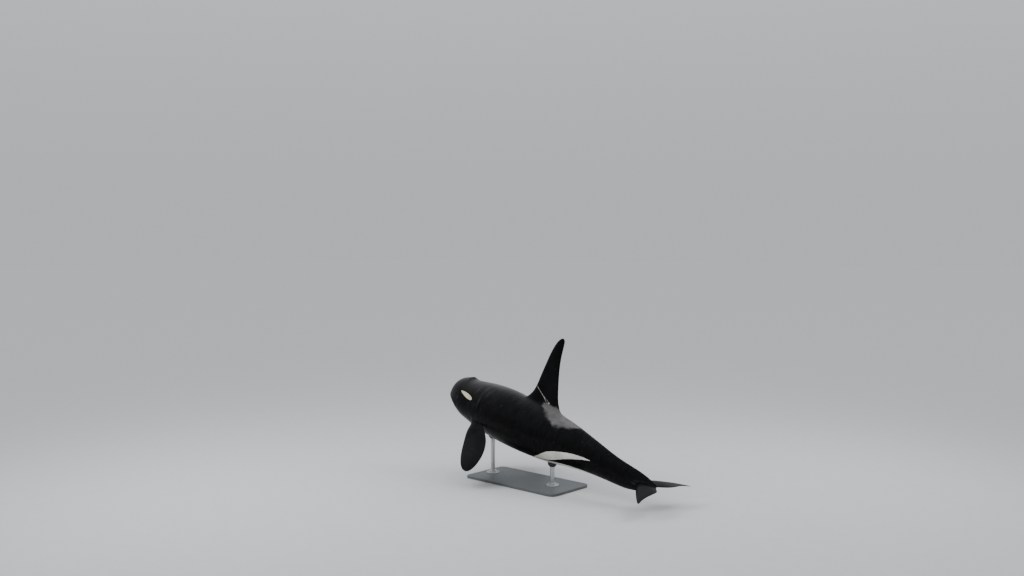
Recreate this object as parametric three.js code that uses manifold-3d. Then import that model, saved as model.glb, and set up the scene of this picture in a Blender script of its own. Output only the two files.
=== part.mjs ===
// A life-size adult male orca lifting its head to breathe, as a still museum model on a display stand.
// Millimetres, +Z up. The animal faces -X, and its left side is towards -Y. The origin is the middle of
// the stand's underside, so the part stands on the plane Z = 0.
//
// The animal is worked out on a straight body axis first: "along" runs back from the snout, "side" is
// positive on the right, "up" is above the axis. The stance then lays that axis on a gently bent spine.
import * as THREE from 'three';
import { mergeVertices } from 'three/addons/utils/BufferGeometryUtils.js';
import Module from 'manifold-3d';

const wasm = await Module();
wasm.setup();

// Driving dimensions
const BODY_LENGTH = 6300; // snout tip to the notch of the flukes
const FLIPPER_LENGTH = 0.22 * BODY_LENGTH;
const FLUKE_SPAN = 0.3 * BODY_LENGTH; // tip to tip
const PART_GAP = 0.3; // between neighbouring pieces

// Stance: how the body axis lies in the stand
const BODY_PITCH = 13; // degrees, head up
const TAIL_DROOP = 5; // further degrees that the loins and tail stock lean
const FLUKE_LIFT = 13; // degrees by which the flukes level out again
const BALANCE_STATION = 39; // percent of the body length that stands over the origin
const AXIS_HEIGHT = 1350; // height of the body axis there

// Facets
const HALF_ROWS = 24; // rows of facets from the middle of the back to the middle of the belly
const FOIL_STEPS = 9; // facets along each face of a fin

// Stand
const BASE = { long: 2700, wide: 1300, thick: 60, corner: 140, edge: 12 };
const FOOT = { radius: 150, thick: 24, edge: 6 };
const ROD = { radius: 50, sides: 32 };
const CUP = { radius: 105, tall: 95, neck: 62, sunk: 60 };
const ROD_STATIONS = { front: 24, rear: 54 };

const percent = (share) => (share / 100) * BODY_LENGTH;
const radians = THREE.MathUtils.degToRad;
const smoothstep = THREE.MathUtils.smoothstep;

// Girth of the body, in percent of its length. Each row gives the heights of the back and the belly, half
// the width, the height at which it is widest, and how full the upper and lower halves are: 2 is an
// ellipse, less is a keel. The dip at 11 is the crease behind the blowhole.
const GIRTH = [
  { at: 0, top: -1.0, bottom: -1.0, wide: 0, waist: -1.0, crown: 2, keel: 2 },
  { at: 1, top: 2.1, bottom: -2.75, wide: 2.4, waist: -1.05, crown: 2, keel: 2.1 },
  { at: 2.8, top: 4.8, bottom: -4.1, wide: 4.0, waist: -1.1, crown: 2, keel: 2.15 },
  { at: 5.5, top: 6.75, bottom: -5.4, wide: 5.6, waist: -1.15, crown: 2, keel: 2.2 },
  { at: 7.8, top: 7.5, bottom: -6.35, wide: 6.6, waist: -1.2, crown: 2, keel: 2.2 },
  { at: 9.3, top: 7.6, bottom: -6.9, wide: 7.05, waist: -1.2, crown: 2, keel: 2.15 },
  { at: 11, top: 7.5, bottom: -7.4, wide: 7.5, waist: -1.2, crown: 2, keel: 2.15 },
  { at: 15, top: 8.15, bottom: -8.2, wide: 8.15, waist: -1.1, crown: 2, keel: 2.1 },
  { at: 21, top: 9.2, bottom: -9.2, wide: 8.95, waist: -0.9, crown: 1.95, keel: 2.1 },
  { at: 29, top: 9.85, bottom: -9.9, wide: 9.4, waist: -0.7, crown: 1.85, keel: 2.1 },
  { at: 37.5, top: 9.75, bottom: -10.1, wide: 9.3, waist: -0.5, crown: 1.75, keel: 2.05 },
  { at: 45, top: 9.5, bottom: -9.9, wide: 8.6, waist: -0.3, crown: 1.72, keel: 2 },
  { at: 52, top: 8.9, bottom: -9.3, wide: 7.6, waist: -0.2, crown: 1.74, keel: 2 },
  { at: 58, top: 8.1, bottom: -8.4, wide: 6.5, waist: -0.1, crown: 1.76, keel: 1.95 },
  { at: 65, top: 7.0, bottom: -7.0, wide: 5.05, waist: 0, crown: 1.75, keel: 1.85 },
  { at: 72, top: 5.9, bottom: -5.75, wide: 3.75, waist: 0, crown: 1.7, keel: 1.72 },
  { at: 79, top: 4.95, bottom: -4.75, wide: 2.7, waist: 0, crown: 1.62, keel: 1.62 },
  { at: 86, top: 4.3, bottom: -4.05, wide: 1.95, waist: 0, crown: 1.55, keel: 1.55 },
  { at: 90.5, top: 3.75, bottom: -3.5, wide: 1.65, waist: 0, crown: 1.55, keel: 1.55 },
  { at: 93.5, top: 2.75, bottom: -2.55, wide: 1.5, waist: 0, crown: 1.6, keel: 1.6 },
  { at: 96, top: 1.55, bottom: -1.45, wide: 1.15, waist: 0, crown: 1.7, keel: 1.7 },
  { at: 98.2, top: 0.4, bottom: -0.4, wide: 0.6, waist: 0, crown: 1.8, keel: 1.8 },
];
const GIRTH_KEYS = ['top', 'bottom', 'wide', 'waist', 'crown', 'keel'];

// Where the whole body is parted into its named lengths, in percent
const PARTINGS = { head: 15.5, chest: 31, trunk: 56, loins: 72, stock: 86, end: 98.2 };

// Mouth: the line where the lips meet, from the tip of the snout to the corner, in percent
const MOUTH_LINE = [
  { at: 0, height: -1.0 },
  { at: 1.2, height: -1.05 },
  { at: 3, height: -1.2 },
  { at: 5.5, height: -1.55 },
  { at: 7.5, height: -2.05 },
  { at: 9, height: -2.65 },
];
const MOUTH_CORNER = 9;
const JAW_FOOT = 10.4; // where the lower jaw ends under the throat, in percent
const JAW_SLAB = { deep: 14, wide: 24 }; // reach of the cut that parts it from the head, in percent
// Rows of facets beside the mouth line: how far each lies from it along the skin, and how far it stands
// out, where the head is at least as wide as the room they need
const LIP_ROWS = [
  { off: 70, out: 0 },
  { off: 30, out: 5 },
  { off: 12, out: -1 },
  { off: 3.5, out: -10 },
  { off: -3.5, out: -10 },
  { off: -12, out: -1 },
  { off: -30, out: 5 },
  { off: -70, out: 0 },
];
const LIPS = { room: 260, deepFrom: 160, fadeFrom: 8.1, fadeTo: 9.5, goneAt: 15.5 };

const EYE = { at: 9.4, height: 1.0, ball: 26, proud: 7, lidLong: 36, lidTall: 21, lidThick: 8 };
const BLOWHOLE = { at: 9.2, wide: 130, slit: 24, bow: 50, deep: 30 };
const BLOWHOLE_SWELLING = { long: 105, wide: 150, tall: 22 };

// Dorsal fin: heights above the axis with its front and rear edges and its thickness, in percent
const DORSAL_FIN = [
  { at: 8.0, front: 35.9, rear: 54.6, thick: 3.3 },
  { at: 10.2, front: 37.5, rear: 52.9, thick: 2.6 },
  { at: 12, front: 39.1, rear: 51.95, thick: 2.1 },
  { at: 14.5, front: 40.4, rear: 51.2, thick: 1.8 },
  { at: 17.4, front: 41.25, rear: 50.65, thick: 1.62 },
  { at: 20.3, front: 42.0, rear: 50.15, thick: 1.45 },
  { at: 23.2, front: 42.8, rear: 49.75, thick: 1.27 },
  { at: 26, front: 43.6, rear: 49.5, thick: 1.1 },
  { at: 28, front: 44.2, rear: 49.45, thick: 0.98 },
  { at: 29.9, front: 44.85, rear: 49.5, thick: 0.86 },
  { at: 32.1, front: 45.75, rear: 49.65, thick: 0.7 },
  { at: 33.9, front: 46.8, rear: 49.75, thick: 0.55 },
  { at: 34.9, front: 47.7, rear: 49.6, thick: 0.42 },
  { at: 35.4, front: 48.8, rear: 48.8, thick: 0.1 },
];

// Flipper: shares of its length with its leading and trailing edges from its own middle line, in percent
const FLIPPER = [
  { at: -0.16, front: -2.7, rear: 2.6, thick: 2.9 },
  { at: 0.0, front: -3.0, rear: 3.0, thick: 2.4 },
  { at: 0.12, front: -3.3, rear: 3.7, thick: 1.85 },
  { at: 0.25, front: -3.75, rear: 4.9, thick: 1.6 },
  { at: 0.4, front: -4.2, rear: 5.95, thick: 1.3 },
  { at: 0.55, front: -4.5, rear: 6.35, thick: 1.05 },
  { at: 0.7, front: -4.4, rear: 5.95, thick: 0.82 },
  { at: 0.82, front: -3.85, rear: 4.95, thick: 0.65 },
  { at: 0.92, front: -2.8, rear: 3.4, thick: 0.48 },
  { at: 0.98, front: -1.45, rear: 1.75, thick: 0.32 },
  { at: 1.0, front: 0.1, rear: 0.1, thick: 0.1 },
];
const FLIPPER_ROOT = { at: 21.4, height: -5.0 };
const FLIPPER_SWEEP = 36; // degrees back from square to the body
const FLIPPER_DIP = 40; // degrees down from level
const FLIPPER_TWIST = 14; // degrees that the leading edge is turned down

// Flukes: shares of half the span with the leading and trailing edges, thickness and droop, in percent
const FLUKE = [
  { at: 0, front: 90.2, rear: 99.0, thick: 2.1, droop: 0 },
  { at: 0.06, front: 90.55, rear: 99.75, thick: 2.05, droop: 0 },
  { at: 0.16, front: 91.3, rear: 100.5, thick: 1.8, droop: 0.02 },
  { at: 0.3, front: 92.6, rear: 100.95, thick: 1.4, droop: 0.1 },
  { at: 0.46, front: 94.3, rear: 101.0, thick: 1.05, droop: 0.27 },
  { at: 0.63, front: 96.25, rear: 100.9, thick: 0.78, droop: 0.55 },
  { at: 0.8, front: 98.3, rear: 101.0, thick: 0.52, droop: 0.95 },
  { at: 0.92, front: 99.85, rear: 101.3, thick: 0.34, droop: 1.3 },
  { at: 0.98, front: 100.75, rear: 101.5, thick: 0.2, droop: 1.5 },
  { at: 1, front: 101.35, rear: 101.35, thick: 0.1, droop: 1.56 },
];

const SKIN_BLACK = { color: 0x15171a, roughness: 0.3, metalness: 0 };
const EYE_DARK = { color: 0x1b120d, roughness: 0.1, metalness: 0 };
const STAND_PAINT = { color: 0x55585b, roughness: 0.5, metalness: 0.2 };
const STAND_STEEL = { color: 0xa9abad, roughness: 0.35, metalness: 0.9 };

// Curves through a table of rows, as a function of a place that the rows are spaced by
function through(rows, keys, placeOf) {
  const values = rows.flatMap((row) => keys.map((key) => row[key]));
  const places = rows.map((row) => placeOf(row.at));
  const curve = new THREE.CubicInterpolant(places, values, keys.length);
  return (at) => {
    const found = curve.evaluate(placeOf(at));
    return Object.fromEntries(keys.map((key, i) => [key, found[i]]));
  };
}

// A blunt end is round when its outline is spaced by the square root of the distance from that end
const girthAt = through(GIRTH, GIRTH_KEYS, (at) => Math.sqrt(Math.max(at, 0)));
const mouthAt = through(MOUTH_LINE, ['height'], (at) => at);

// Stance: the spine's angle and place at a station, found by adding up small steps from the balance station
function spineAngle(at) {
  const droop = TAIL_DROOP * smoothstep(at, 50, 78);
  const lift = FLUKE_LIFT * smoothstep(at, 78, 96);
  return radians(BODY_PITCH + droop - lift);
}

function spinePlace(at) {
  const steps = 40;
  const step = (at - BALANCE_STATION) / steps;
  let x = 0;
  let z = AXIS_HEIGHT;
  for (let i = 0; i < steps; i += 1) {
    const angle = spineAngle(BALANCE_STATION + (i + 0.5) * step);
    x += percent(step) * Math.cos(angle);
    z -= percent(step) * Math.sin(angle);
  }
  return { x, z };
}

// A point of the straight body, in millimetres, as it lies in the stance
function posed(along, side, up) {
  const at = (along / BODY_LENGTH) * 100;
  const place = spinePlace(at);
  const angle = spineAngle(at);
  return new THREE.Vector3(place.x + up * Math.sin(angle), side, place.z + up * Math.cos(angle));
}

// One point of the girth, from its angle above the widest line, grown outwards by some millimetres
function girthPoint(at, angle, out) {
  const girth = girthAt(at);
  const rise = Math.sin(angle);
  const full = rise >= 0 ? girth.crown : girth.keel;
  const reach = percent(rise >= 0 ? girth.top - girth.waist : girth.waist - girth.bottom) + out;
  const side = (percent(girth.wide) + out) * Math.cos(angle) ** (2 / full);
  const up = percent(girth.waist) + Math.sign(rise) * reach * Math.abs(rise) ** (2 / full);
  return { side, up };
}

// How far the skin swells out round the blowhole
function swellAt(at, angle) {
  const { long, wide, tall } = BLOWHOLE_SWELLING;
  const along = percent(at - BLOWHOLE.at) / long;
  const across = girthPoint(at, angle, 0).side / wide;
  return angle > 0 ? tall * Math.exp(-(along ** 2) - across ** 2) : 0;
}

// The angle at which the skin is at a height, given in percent
function angleAtHeight(at, height) {
  const girth = girthAt(at);
  const above = height >= girth.waist;
  const reach = above ? girth.top - girth.waist : girth.waist - girth.bottom;
  const share = Math.min(Math.abs(height - girth.waist) / Math.max(reach, 1e-6), 1);
  return (above ? 1 : -1) * Math.asin(share ** ((above ? girth.crown : girth.keel) / 2));
}

// Angles and swellings of the rows of facets down one side. In the head they close in on the lips.
function rowsAt(at) {
  const even = [...Array(HALF_ROWS + 1).keys()].map((row) => Math.PI / 2 - (Math.PI * row) / HALF_ROWS);
  const gather = 1 - smoothstep(at, MOUTH_CORNER, LIPS.goneAt);
  if (gather <= 0) return even.map((angle) => ({ angle, out: 0 }));
  const girth = girthAt(at);
  const mouth = angleAtHeight(at, mouthAt(Math.min(at, MOUTH_CORNER)).height);
  const radius = Math.max(percent(girth.wide), 1);
  const room = Math.min(1, radius / LIPS.room);
  const depth = Math.min(1, radius / LIPS.deepFrom) * (1 - smoothstep(at, LIPS.fadeFrom, LIPS.fadeTo));
  const first = (HALF_ROWS - LIP_ROWS.length) / 2;
  const last = first + LIP_ROWS.length - 1;
  const lipAngle = (row) => mouth + (LIP_ROWS[row].off * room) / radius;
  return even.map((angle, row) => {
    let near = angle;
    let out = 0;
    if (row < first) near = Math.PI / 2 + (lipAngle(0) - Math.PI / 2) * (row / first);
    else if (row > last) {
      const share = (row - last) / (HALF_ROWS - last);
      near = lipAngle(LIP_ROWS.length - 1) * (1 - share) + (-Math.PI / 2) * share;
    } else {
      near = lipAngle(row - first);
      out = LIP_ROWS[row - first].out * depth;
    }
    return { angle: near * gather + angle * (1 - gather), out };
  });
}

// The closed ring of points round the body at a station: down the left side and up the right
function bodyRing(at, grow) {
  const rows = rowsAt(at);
  const half = rows.map(({ angle, out }, row) => {
    const onMiddle = row === 0 || row === HALF_ROWS;
    const { side, up } = girthPoint(at, angle, grow + out + swellAt(at, angle));
    return { side: onMiddle ? 0 : side, up };
  });
  const left = half.map(({ side, up }) => posed(percent(at), -side, up));
  const right = half.slice(1, -1).reverse().map(({ side, up }) => posed(percent(at), side, up));
  return [...left, ...right];
}

// A solid through rings of points, its two ends closed by fans round their middles. Each four-sided facet
// is split along its shorter diagonal, and where they are alike the two halves of a ring are mirror images.
function loft(rings) {
  const count = rings[0].length;
  const points = rings.flat();
  const faces = [];
  for (let ring = 0; ring < rings.length - 1; ring += 1) {
    for (let i = 0; i < count; i += 1) {
      const a = ring * count + i;
      const b = ring * count + ((i + 1) % count);
      const [c, d] = [a + count, b + count];
      const ratio = points[a].distanceTo(points[d]) / points[b].distanceTo(points[c]);
      const likeMirror = i < count / 2 ? ratio > 0.999 : ratio > 1.001;
      faces.push(...(likeMirror ? [a, b, c, b, d, c] : [a, b, d, a, d, c]));
    }
  }
  for (const [ring, turned] of [[0, true], [rings.length - 1, false]]) {
    const middle = rings[ring].reduce((sum, p) => sum.add(p), new THREE.Vector3()).divideScalar(count);
    points.push(middle);
    for (let i = 0; i < count; i += 1) {
      const a = ring * count + i;
      const b = ring * count + ((i + 1) % count);
      faces.push(...(turned ? [b, a, points.length - 1] : [a, b, points.length - 1]));
    }
  }
  const geometry = new THREE.BufferGeometry().setFromPoints(points);
  geometry.setIndex(faces);
  return solid(geometry);
}

// A closed geometry as a solid whose faces point out
function solid(geometry) {
  const bare = new THREE.BufferGeometry();
  bare.setAttribute('position', geometry.getAttribute('position'));
  if (geometry.index) bare.setIndex(geometry.index);
  const merged = mergeVertices(bare, 1e-3);
  const triangles = [...merged.index.array];
  const kept = [];
  for (let i = 0; i < triangles.length; i += 3) {
    const [a, b, c] = triangles.slice(i, i + 3);
    if (a !== b && b !== c && c !== a) kept.push([a, b, c]);
  }
  const made = (corners) =>
    new wasm.Manifold(
      new wasm.Mesh({
        numProp: 3,
        vertProperties: new Float32Array(merged.attributes.position.array),
        triVerts: new Uint32Array(corners.flat()),
      }),
    );
  const first = made(kept);
  return first.volume() > 0 ? first : made(kept.map(([a, b, c]) => [a, c, b]));
}

const largest = (shape) => shape.decompose().sort((a, b) => b.volume() - a.volume())[0];

function stations(from, to, steps, placeOf = (share) => share) {
  return [...Array(steps + 1).keys()].map((i) => from + (to - from) * placeOf(i / steps));
}

// A length of the body between two stations, a hair short at both ends so that neighbours stay clear.
// Grown, it is the cutter that keeps a limb off the skin, and reaches past both ends.
function bodyLength(from, to, steps, grow = 0) {
  const hair = ((PART_GAP / 2 - grow) / BODY_LENGTH) * 100;
  return loft(stations(from + hair, to - hair, steps).map((at) => bodyRing(at, grow)));
}

// The front of the head is blunt, so its stations crowd towards the tip of the snout
function headLength(grow = 0) {
  const hair = (PART_GAP / 2 / BODY_LENGTH) * 100;
  const crowded = (share) => share ** 2 * (1 - 0.4 * (1 - share) ** 2);
  const ats = stations(0, PARTINGS.head - hair, 34, crowded).slice(1);
  return loft(ats.map((at) => bodyRing(at, grow)));
}

// Half the thickness of a fin along its chord, as a share of the most: round in front and thin behind
function foil(share) {
  const [root, first, second, third, fourth] = [2.969, -1.26, -3.516, 2.843, -0.98];
  return (
    root * Math.sqrt(share) + first * share + second * share ** 2 + third * share ** 3 + fourth * share ** 4
  );
}

// A fin through its table of chords. place() puts a point of its middle surface and of its thickness.
function fin(table, place, levels) {
  const first = table[0].at;
  const last = table[table.length - 1].at;
  const keys = Object.keys(table[0]).filter((key) => key !== 'at');
  const chordAt = through(table, keys, (at) => -Math.sqrt(Math.max(last - at, 0) / (last - first)));
  const rings = stations(0, 0.99, levels).map((share) => {
    const at = first + ((last - first) * (1 - Math.cos(Math.PI * share))) / 2;
    const chord = chordAt(at);
    const face = (step, sign) => {
      const back = (1 - Math.cos((Math.PI * step) / FOIL_STEPS)) / 2;
      const edge = step === 0 ? 0 : 1.5; // half the least thickness, away from the leading edge
      const half = Math.max((percent(chord.thick) / 2) * foil(back), edge);
      return place(at, chord.front + (chord.rear - chord.front) * back, sign * half, chord);
    };
    const steps = [...Array(FOIL_STEPS + 1).keys()];
    const forward = steps.slice(1).reverse();
    return [...steps.map((step) => face(step, 1)), ...forward.map((step) => face(step, -1))];
  });
  return loft(rings);
}

function dorsalFin() {
  const shape = fin(DORSAL_FIN, (at, back, thick) => posed(percent(back), thick, percent(at)), 18);
  return largest(shape.subtract(bodyLength(PARTINGS.chest, PARTINGS.trunk, 11, PART_GAP)));
}

// Flipper's own axes on the straight body: out along its length, back along its chord, and its thickness
function flipperAxes(side) {
  const sweep = radians(FLIPPER_SWEEP);
  const dip = radians(FLIPPER_DIP);
  const length = new THREE.Vector3(
    Math.sin(sweep),
    side * Math.cos(sweep) * Math.cos(dip),
    -Math.cos(sweep) * Math.sin(dip),
  );
  const chord = new THREE.Vector3(1, 0, 0).addScaledVector(length, -length.x).normalize();
  chord.applyAxisAngle(length, side * radians(-FLIPPER_TWIST));
  const thickness = new THREE.Vector3().crossVectors(length, chord);
  return { length, chord, thickness };
}

function flipper(side) {
  const { at, height } = FLIPPER_ROOT;
  const root = girthPoint(at, angleAtHeight(at, height), 0);
  const origin = new THREE.Vector3(percent(at), side * root.side, root.up);
  const axes = flipperAxes(side);
  const place = (share, back, thick) => {
    const point = origin.clone().addScaledVector(axes.length, share * FLIPPER_LENGTH);
    point.addScaledVector(axes.chord, percent(back)).addScaledVector(axes.thickness, thick);
    return posed(point.x, point.y, point.z);
  };
  return largest(fin(FLIPPER, place, 15).subtract(bodyLength(PARTINGS.head, PARTINGS.chest, 8, PART_GAP)));
}

function fluke(side) {
  const place = (share, back, thick, chord) =>
    posed(
      percent(back),
      side * (PART_GAP / 2 + (share * FLUKE_SPAN) / 2),
      thick - percent(chord.droop),
    );
  const stock = bodyLength(PARTINGS.stock, PARTINGS.end, 9, PART_GAP);
  return largest(fin(FLUKE, place, 14).subtract(stock));
}

// Where a feature sits on the skin: its place, and a frame whose X runs back, Y across and Z outwards
function skinFrame(at, height, side) {
  const point = (station, angle) => {
    const { side: wide, up } = girthPoint(station, angle, swellAt(station, angle));
    return posed(percent(station), side * wide, up);
  };
  const angle = height === null ? Math.PI / 2 : angleAtHeight(at, height);
  const place = point(at, angle);
  const back = point(at + 0.1, angle).sub(point(at - 0.1, angle)).normalize();
  const across = height === null
    ? new THREE.Vector3(0, 1, 0)
    : point(at, angle + 0.01).sub(point(at, angle - 0.01)).normalize();
  const out = new THREE.Vector3().crossVectors(back, across).normalize();
  if (height !== null && out.y * side < 0) out.negate();
  const level = new THREE.Vector3().crossVectors(out, back);
  return new THREE.Matrix4().makeBasis(back, level, out).setPosition(place);
}

const onSkin = (geometry, frame) => solid(geometry.clone().applyMatrix4(frame));

function eyeball(side, grow = 0) {
  const ball = new THREE.SphereGeometry(EYE.ball + grow, 16, 12).translate(0, 0, EYE.proud - EYE.ball);
  return onSkin(ball, skinFrame(EYE.at, EYE.height, side));
}

// Upper and lower lid: a ring drawn out to a corner in front of the eye and one behind it
function eyelids(side) {
  const { lidLong, lidTall, lidThick } = EYE;
  const tube = 0.25; // the lid's thickness, before it is drawn out, as a share of the ring's radius
  const ring = new THREE.TorusGeometry(1, tube, 6, 20);
  const spots = ring.getAttribute('position');
  const cornered = 0.4; // 0 is a plain ellipse
  for (let i = 0; i < spots.count; i += 1) {
    const round = Math.atan2(spots.getY(i), spots.getX(i));
    const offset = ((Math.hypot(spots.getX(i), spots.getY(i)) - 1) / tube) * lidThick;
    const along = (lidLong + offset) * Math.cos(round);
    const across = (lidTall * Math.abs(Math.sin(round)) ** cornered + offset) * Math.sin(round);
    spots.setXYZ(i, along, across, (spots.getZ(i) / tube) * lidThick - lidThick / 3);
  }
  return onSkin(ring, skinFrame(EYE.at, EYE.height, side));
}

// Crescent slit whose horns point to the snout
function blowholeSlit(frame) {
  const { wide, slit, bow, deep } = BLOWHOLE;
  const outline = new THREE.Shape();
  outline.moveTo(-bow / 2, -wide / 2);
  outline.quadraticCurveTo(bow + slit, 0, -bow / 2, wide / 2);
  outline.quadraticCurveTo(bow - slit, 0, -bow / 2, -wide / 2);
  const extrusion = { depth: 2 * deep, bevelEnabled: false, curveSegments: 8 };
  return onSkin(new THREE.ExtrudeGeometry(outline, extrusion).translate(-bow / 4, 0, -deep), frame);
}

// Everything under the mouth line and in front of the throat, as a thick slab across the head
function jawRegion(shift) {
  const { deep, wide } = JAW_SLAB;
  const outline = new THREE.Shape();
  const ahead = -1.5; // the cut starts in front of the snout
  outline.moveTo(ahead, -deep);
  for (const at of stations(ahead, MOUTH_CORNER, 16)) {
    outline.lineTo(at + shift, mouthAt(Math.max(at, 0)).height + shift);
  }
  outline.lineTo(JAW_FOOT + shift, -deep);
  const slab = new THREE.ExtrudeGeometry(outline, { depth: wide, bevelEnabled: false });
  slab.translate(0, 0, -wide / 2);
  const positions = slab.getAttribute('position');
  for (let i = 0; i < positions.count; i += 1) {
    const [along, up, side] = [positions.getX(i), positions.getY(i), positions.getZ(i)];
    const place = posed(percent(along), percent(side), percent(up));
    positions.setXYZ(i, place.x, place.y, place.z);
  }
  return solid(slab);
}

function headAndJaw() {
  const whole = headLength();
  const hair = (PART_GAP / 2 / BODY_LENGTH) * 100;
  const top = skinFrame(BLOWHOLE.at, null, 1);
  let head = whole.subtract(jawRegion(hair)).subtract(blowholeSlit(top));
  for (const side of [-1, 1]) head = head.add(eyelids(side)).subtract(eyeball(side, PART_GAP));
  return { head: largest(head), jaw: largest(whole.intersect(jawRegion(-hair))) };
}

function roundedPlate() {
  const { long, wide, thick, corner, edge } = BASE;
  const [x, y] = [long / 2 - edge, wide / 2 - edge];
  const outline = new THREE.Shape();
  const bend = corner - edge;
  outline.moveTo(-x + bend, -y);
  outline.lineTo(x - bend, -y);
  outline.absarc(x - bend, -y + bend, bend, -Math.PI / 2, 0);
  outline.lineTo(x, y - bend);
  outline.absarc(x - bend, y - bend, bend, 0, Math.PI / 2);
  outline.lineTo(-x + bend, y);
  outline.absarc(-x + bend, y - bend, bend, Math.PI / 2, Math.PI);
  outline.lineTo(-x, -y + bend);
  outline.absarc(-x + bend, -y + bend, bend, Math.PI, 1.5 * Math.PI);
  const plate = new THREE.ExtrudeGeometry(outline, {
    depth: thick - 2 * edge,
    bevelThickness: edge,
    bevelSize: edge,
    bevelSegments: 2,
    curveSegments: 6,
  });
  return solid(plate.translate(0, 0, edge));
}

// A turned piece on the stand, from the radius and height of each step of its outline
function turned(outline, x, z) {
  const profile = outline.map(([radius, height]) => new THREE.Vector2(radius, height));
  return solid(new THREE.LatheGeometry(profile, ROD.sides).rotateX(Math.PI / 2).translate(x, 0, z));
}

// Foot, rod and cup under the belly at a station. The cup is cut to the skin that it carries.
function standPost(station) {
  const { x, z } = posed(percent(station), 0, percent(girthAt(station).bottom));
  const footAt = BASE.thick + PART_GAP;
  const rodAt = footAt + FOOT.thick + PART_GAP;
  const cupAt = z - CUP.tall;
  const rodTall = cupAt - PART_GAP - rodAt;
  const { radius, thick, edge } = FOOT;
  const disc = [[0, 0], [radius, 0], [radius, thick - edge], [radius - edge, thick], [0, thick]];
  const shaft = [[0, 0], [ROD.radius, 0], [ROD.radius, rodTall], [0, rodTall]];
  const rim = CUP.tall + CUP.sunk;
  const bowl = [[0, 0], [CUP.neck, 0], [CUP.radius, CUP.tall / 2], [CUP.radius, rim], [0, rim]];
  const around = 6; // percent of the body on either side of the rod
  const belly = bodyLength(station - around, station + around, 8, PART_GAP);
  return {
    foot: turned(disc, x, footAt),
    rod: turned(shaft, x, rodAt),
    cup: largest(turned(bowl, x, cupAt).subtract(belly)),
  };
}

const part = new THREE.Group();

function add(name, shape, finish) {
  const mesh = shape.getMesh();
  const points = new Float32Array(mesh.numVert * 3);
  for (let i = 0; i < mesh.numVert; i += 1) {
    points.set(mesh.vertProperties.subarray(i * mesh.numProp, i * mesh.numProp + 3), i * 3);
  }
  const geometry = new THREE.BufferGeometry();
  geometry.setAttribute('position', new THREE.BufferAttribute(points, 3));
  geometry.setIndex(new THREE.BufferAttribute(mesh.triVerts, 1));
  geometry.computeVertexNormals();
  const made = new THREE.Mesh(geometry, new THREE.MeshStandardMaterial(finish));
  made.name = name;
  part.add(made);
}

const { head, jaw } = headAndJaw();
add('head', head, SKIN_BLACK);
add('lower_jaw', jaw, SKIN_BLACK);
add('chest', bodyLength(PARTINGS.head, PARTINGS.chest, 8), SKIN_BLACK);
add('trunk', bodyLength(PARTINGS.chest, PARTINGS.trunk, 11), SKIN_BLACK);
add('loins', bodyLength(PARTINGS.trunk, PARTINGS.loins, 7), SKIN_BLACK);
add('tail_stock_front', bodyLength(PARTINGS.loins, PARTINGS.stock, 6), SKIN_BLACK);
add('tail_stock_rear', bodyLength(PARTINGS.stock, PARTINGS.end, 9), SKIN_BLACK);
add('dorsal_fin', dorsalFin(), SKIN_BLACK);
for (const [name, side] of [['left', -1], ['right', 1]]) {
  add(`flipper_${name}`, flipper(side), SKIN_BLACK);
  add(`fluke_${name}`, fluke(side), SKIN_BLACK);
  add(`eye_${name}`, eyeball(side), EYE_DARK);
}
add('stand_base', roundedPlate(), STAND_PAINT);
for (const [name, station] of Object.entries(ROD_STATIONS)) {
  const { foot, rod, cup } = standPost(station);
  add(`stand_foot_${name}`, foot, STAND_STEEL);
  add(`stand_rod_${name}`, rod, STAND_STEEL);
  add(`stand_cup_${name}`, cup, STAND_PAINT);
}

export default part;
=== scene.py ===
"""A life-size adult male orca on a display stand: skin, eyes, stand, floor, light and camera.

Metres, +Z up. The animal faces -X and its left side is towards -Y. As in the solids, the animal is worked
out on a straight axis first, in percent of its length: along runs back from the snout, side is positive on
the right, up is above the axis. The stance then lays that axis on a gently bent spine.
"""

import math

import bmesh
import bpy
import numpy as np
from mathutils import Matrix, Vector
from mathutils.bvhtree import BVHTree


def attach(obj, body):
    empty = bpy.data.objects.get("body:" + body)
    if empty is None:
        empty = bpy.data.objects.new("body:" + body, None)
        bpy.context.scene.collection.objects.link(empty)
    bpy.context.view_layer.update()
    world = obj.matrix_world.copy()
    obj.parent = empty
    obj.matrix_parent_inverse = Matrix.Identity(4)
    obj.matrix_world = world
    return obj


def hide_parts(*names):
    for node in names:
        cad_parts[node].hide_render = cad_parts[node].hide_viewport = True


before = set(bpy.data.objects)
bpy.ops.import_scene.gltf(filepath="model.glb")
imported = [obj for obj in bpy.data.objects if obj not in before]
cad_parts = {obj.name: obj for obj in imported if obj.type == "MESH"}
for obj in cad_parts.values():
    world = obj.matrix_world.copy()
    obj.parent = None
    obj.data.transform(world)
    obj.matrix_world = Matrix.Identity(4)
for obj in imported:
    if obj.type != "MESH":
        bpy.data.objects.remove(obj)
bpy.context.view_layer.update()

# Driving sizes, the same as the solids'
BODY_LENGTH = 6.3
FLIPPER_LENGTH = 0.22 * BODY_LENGTH
FLUKE_SPAN = 0.3 * BODY_LENGTH

# Stance
BODY_PITCH = 13
TAIL_DROOP = 5
FLUKE_LIFT = 13
BALANCE_STATION = 39
AXIS_HEIGHT = 1.35
SPINE_ENDS = (-8, 108)
SPINE_STEP = 0.05

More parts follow.
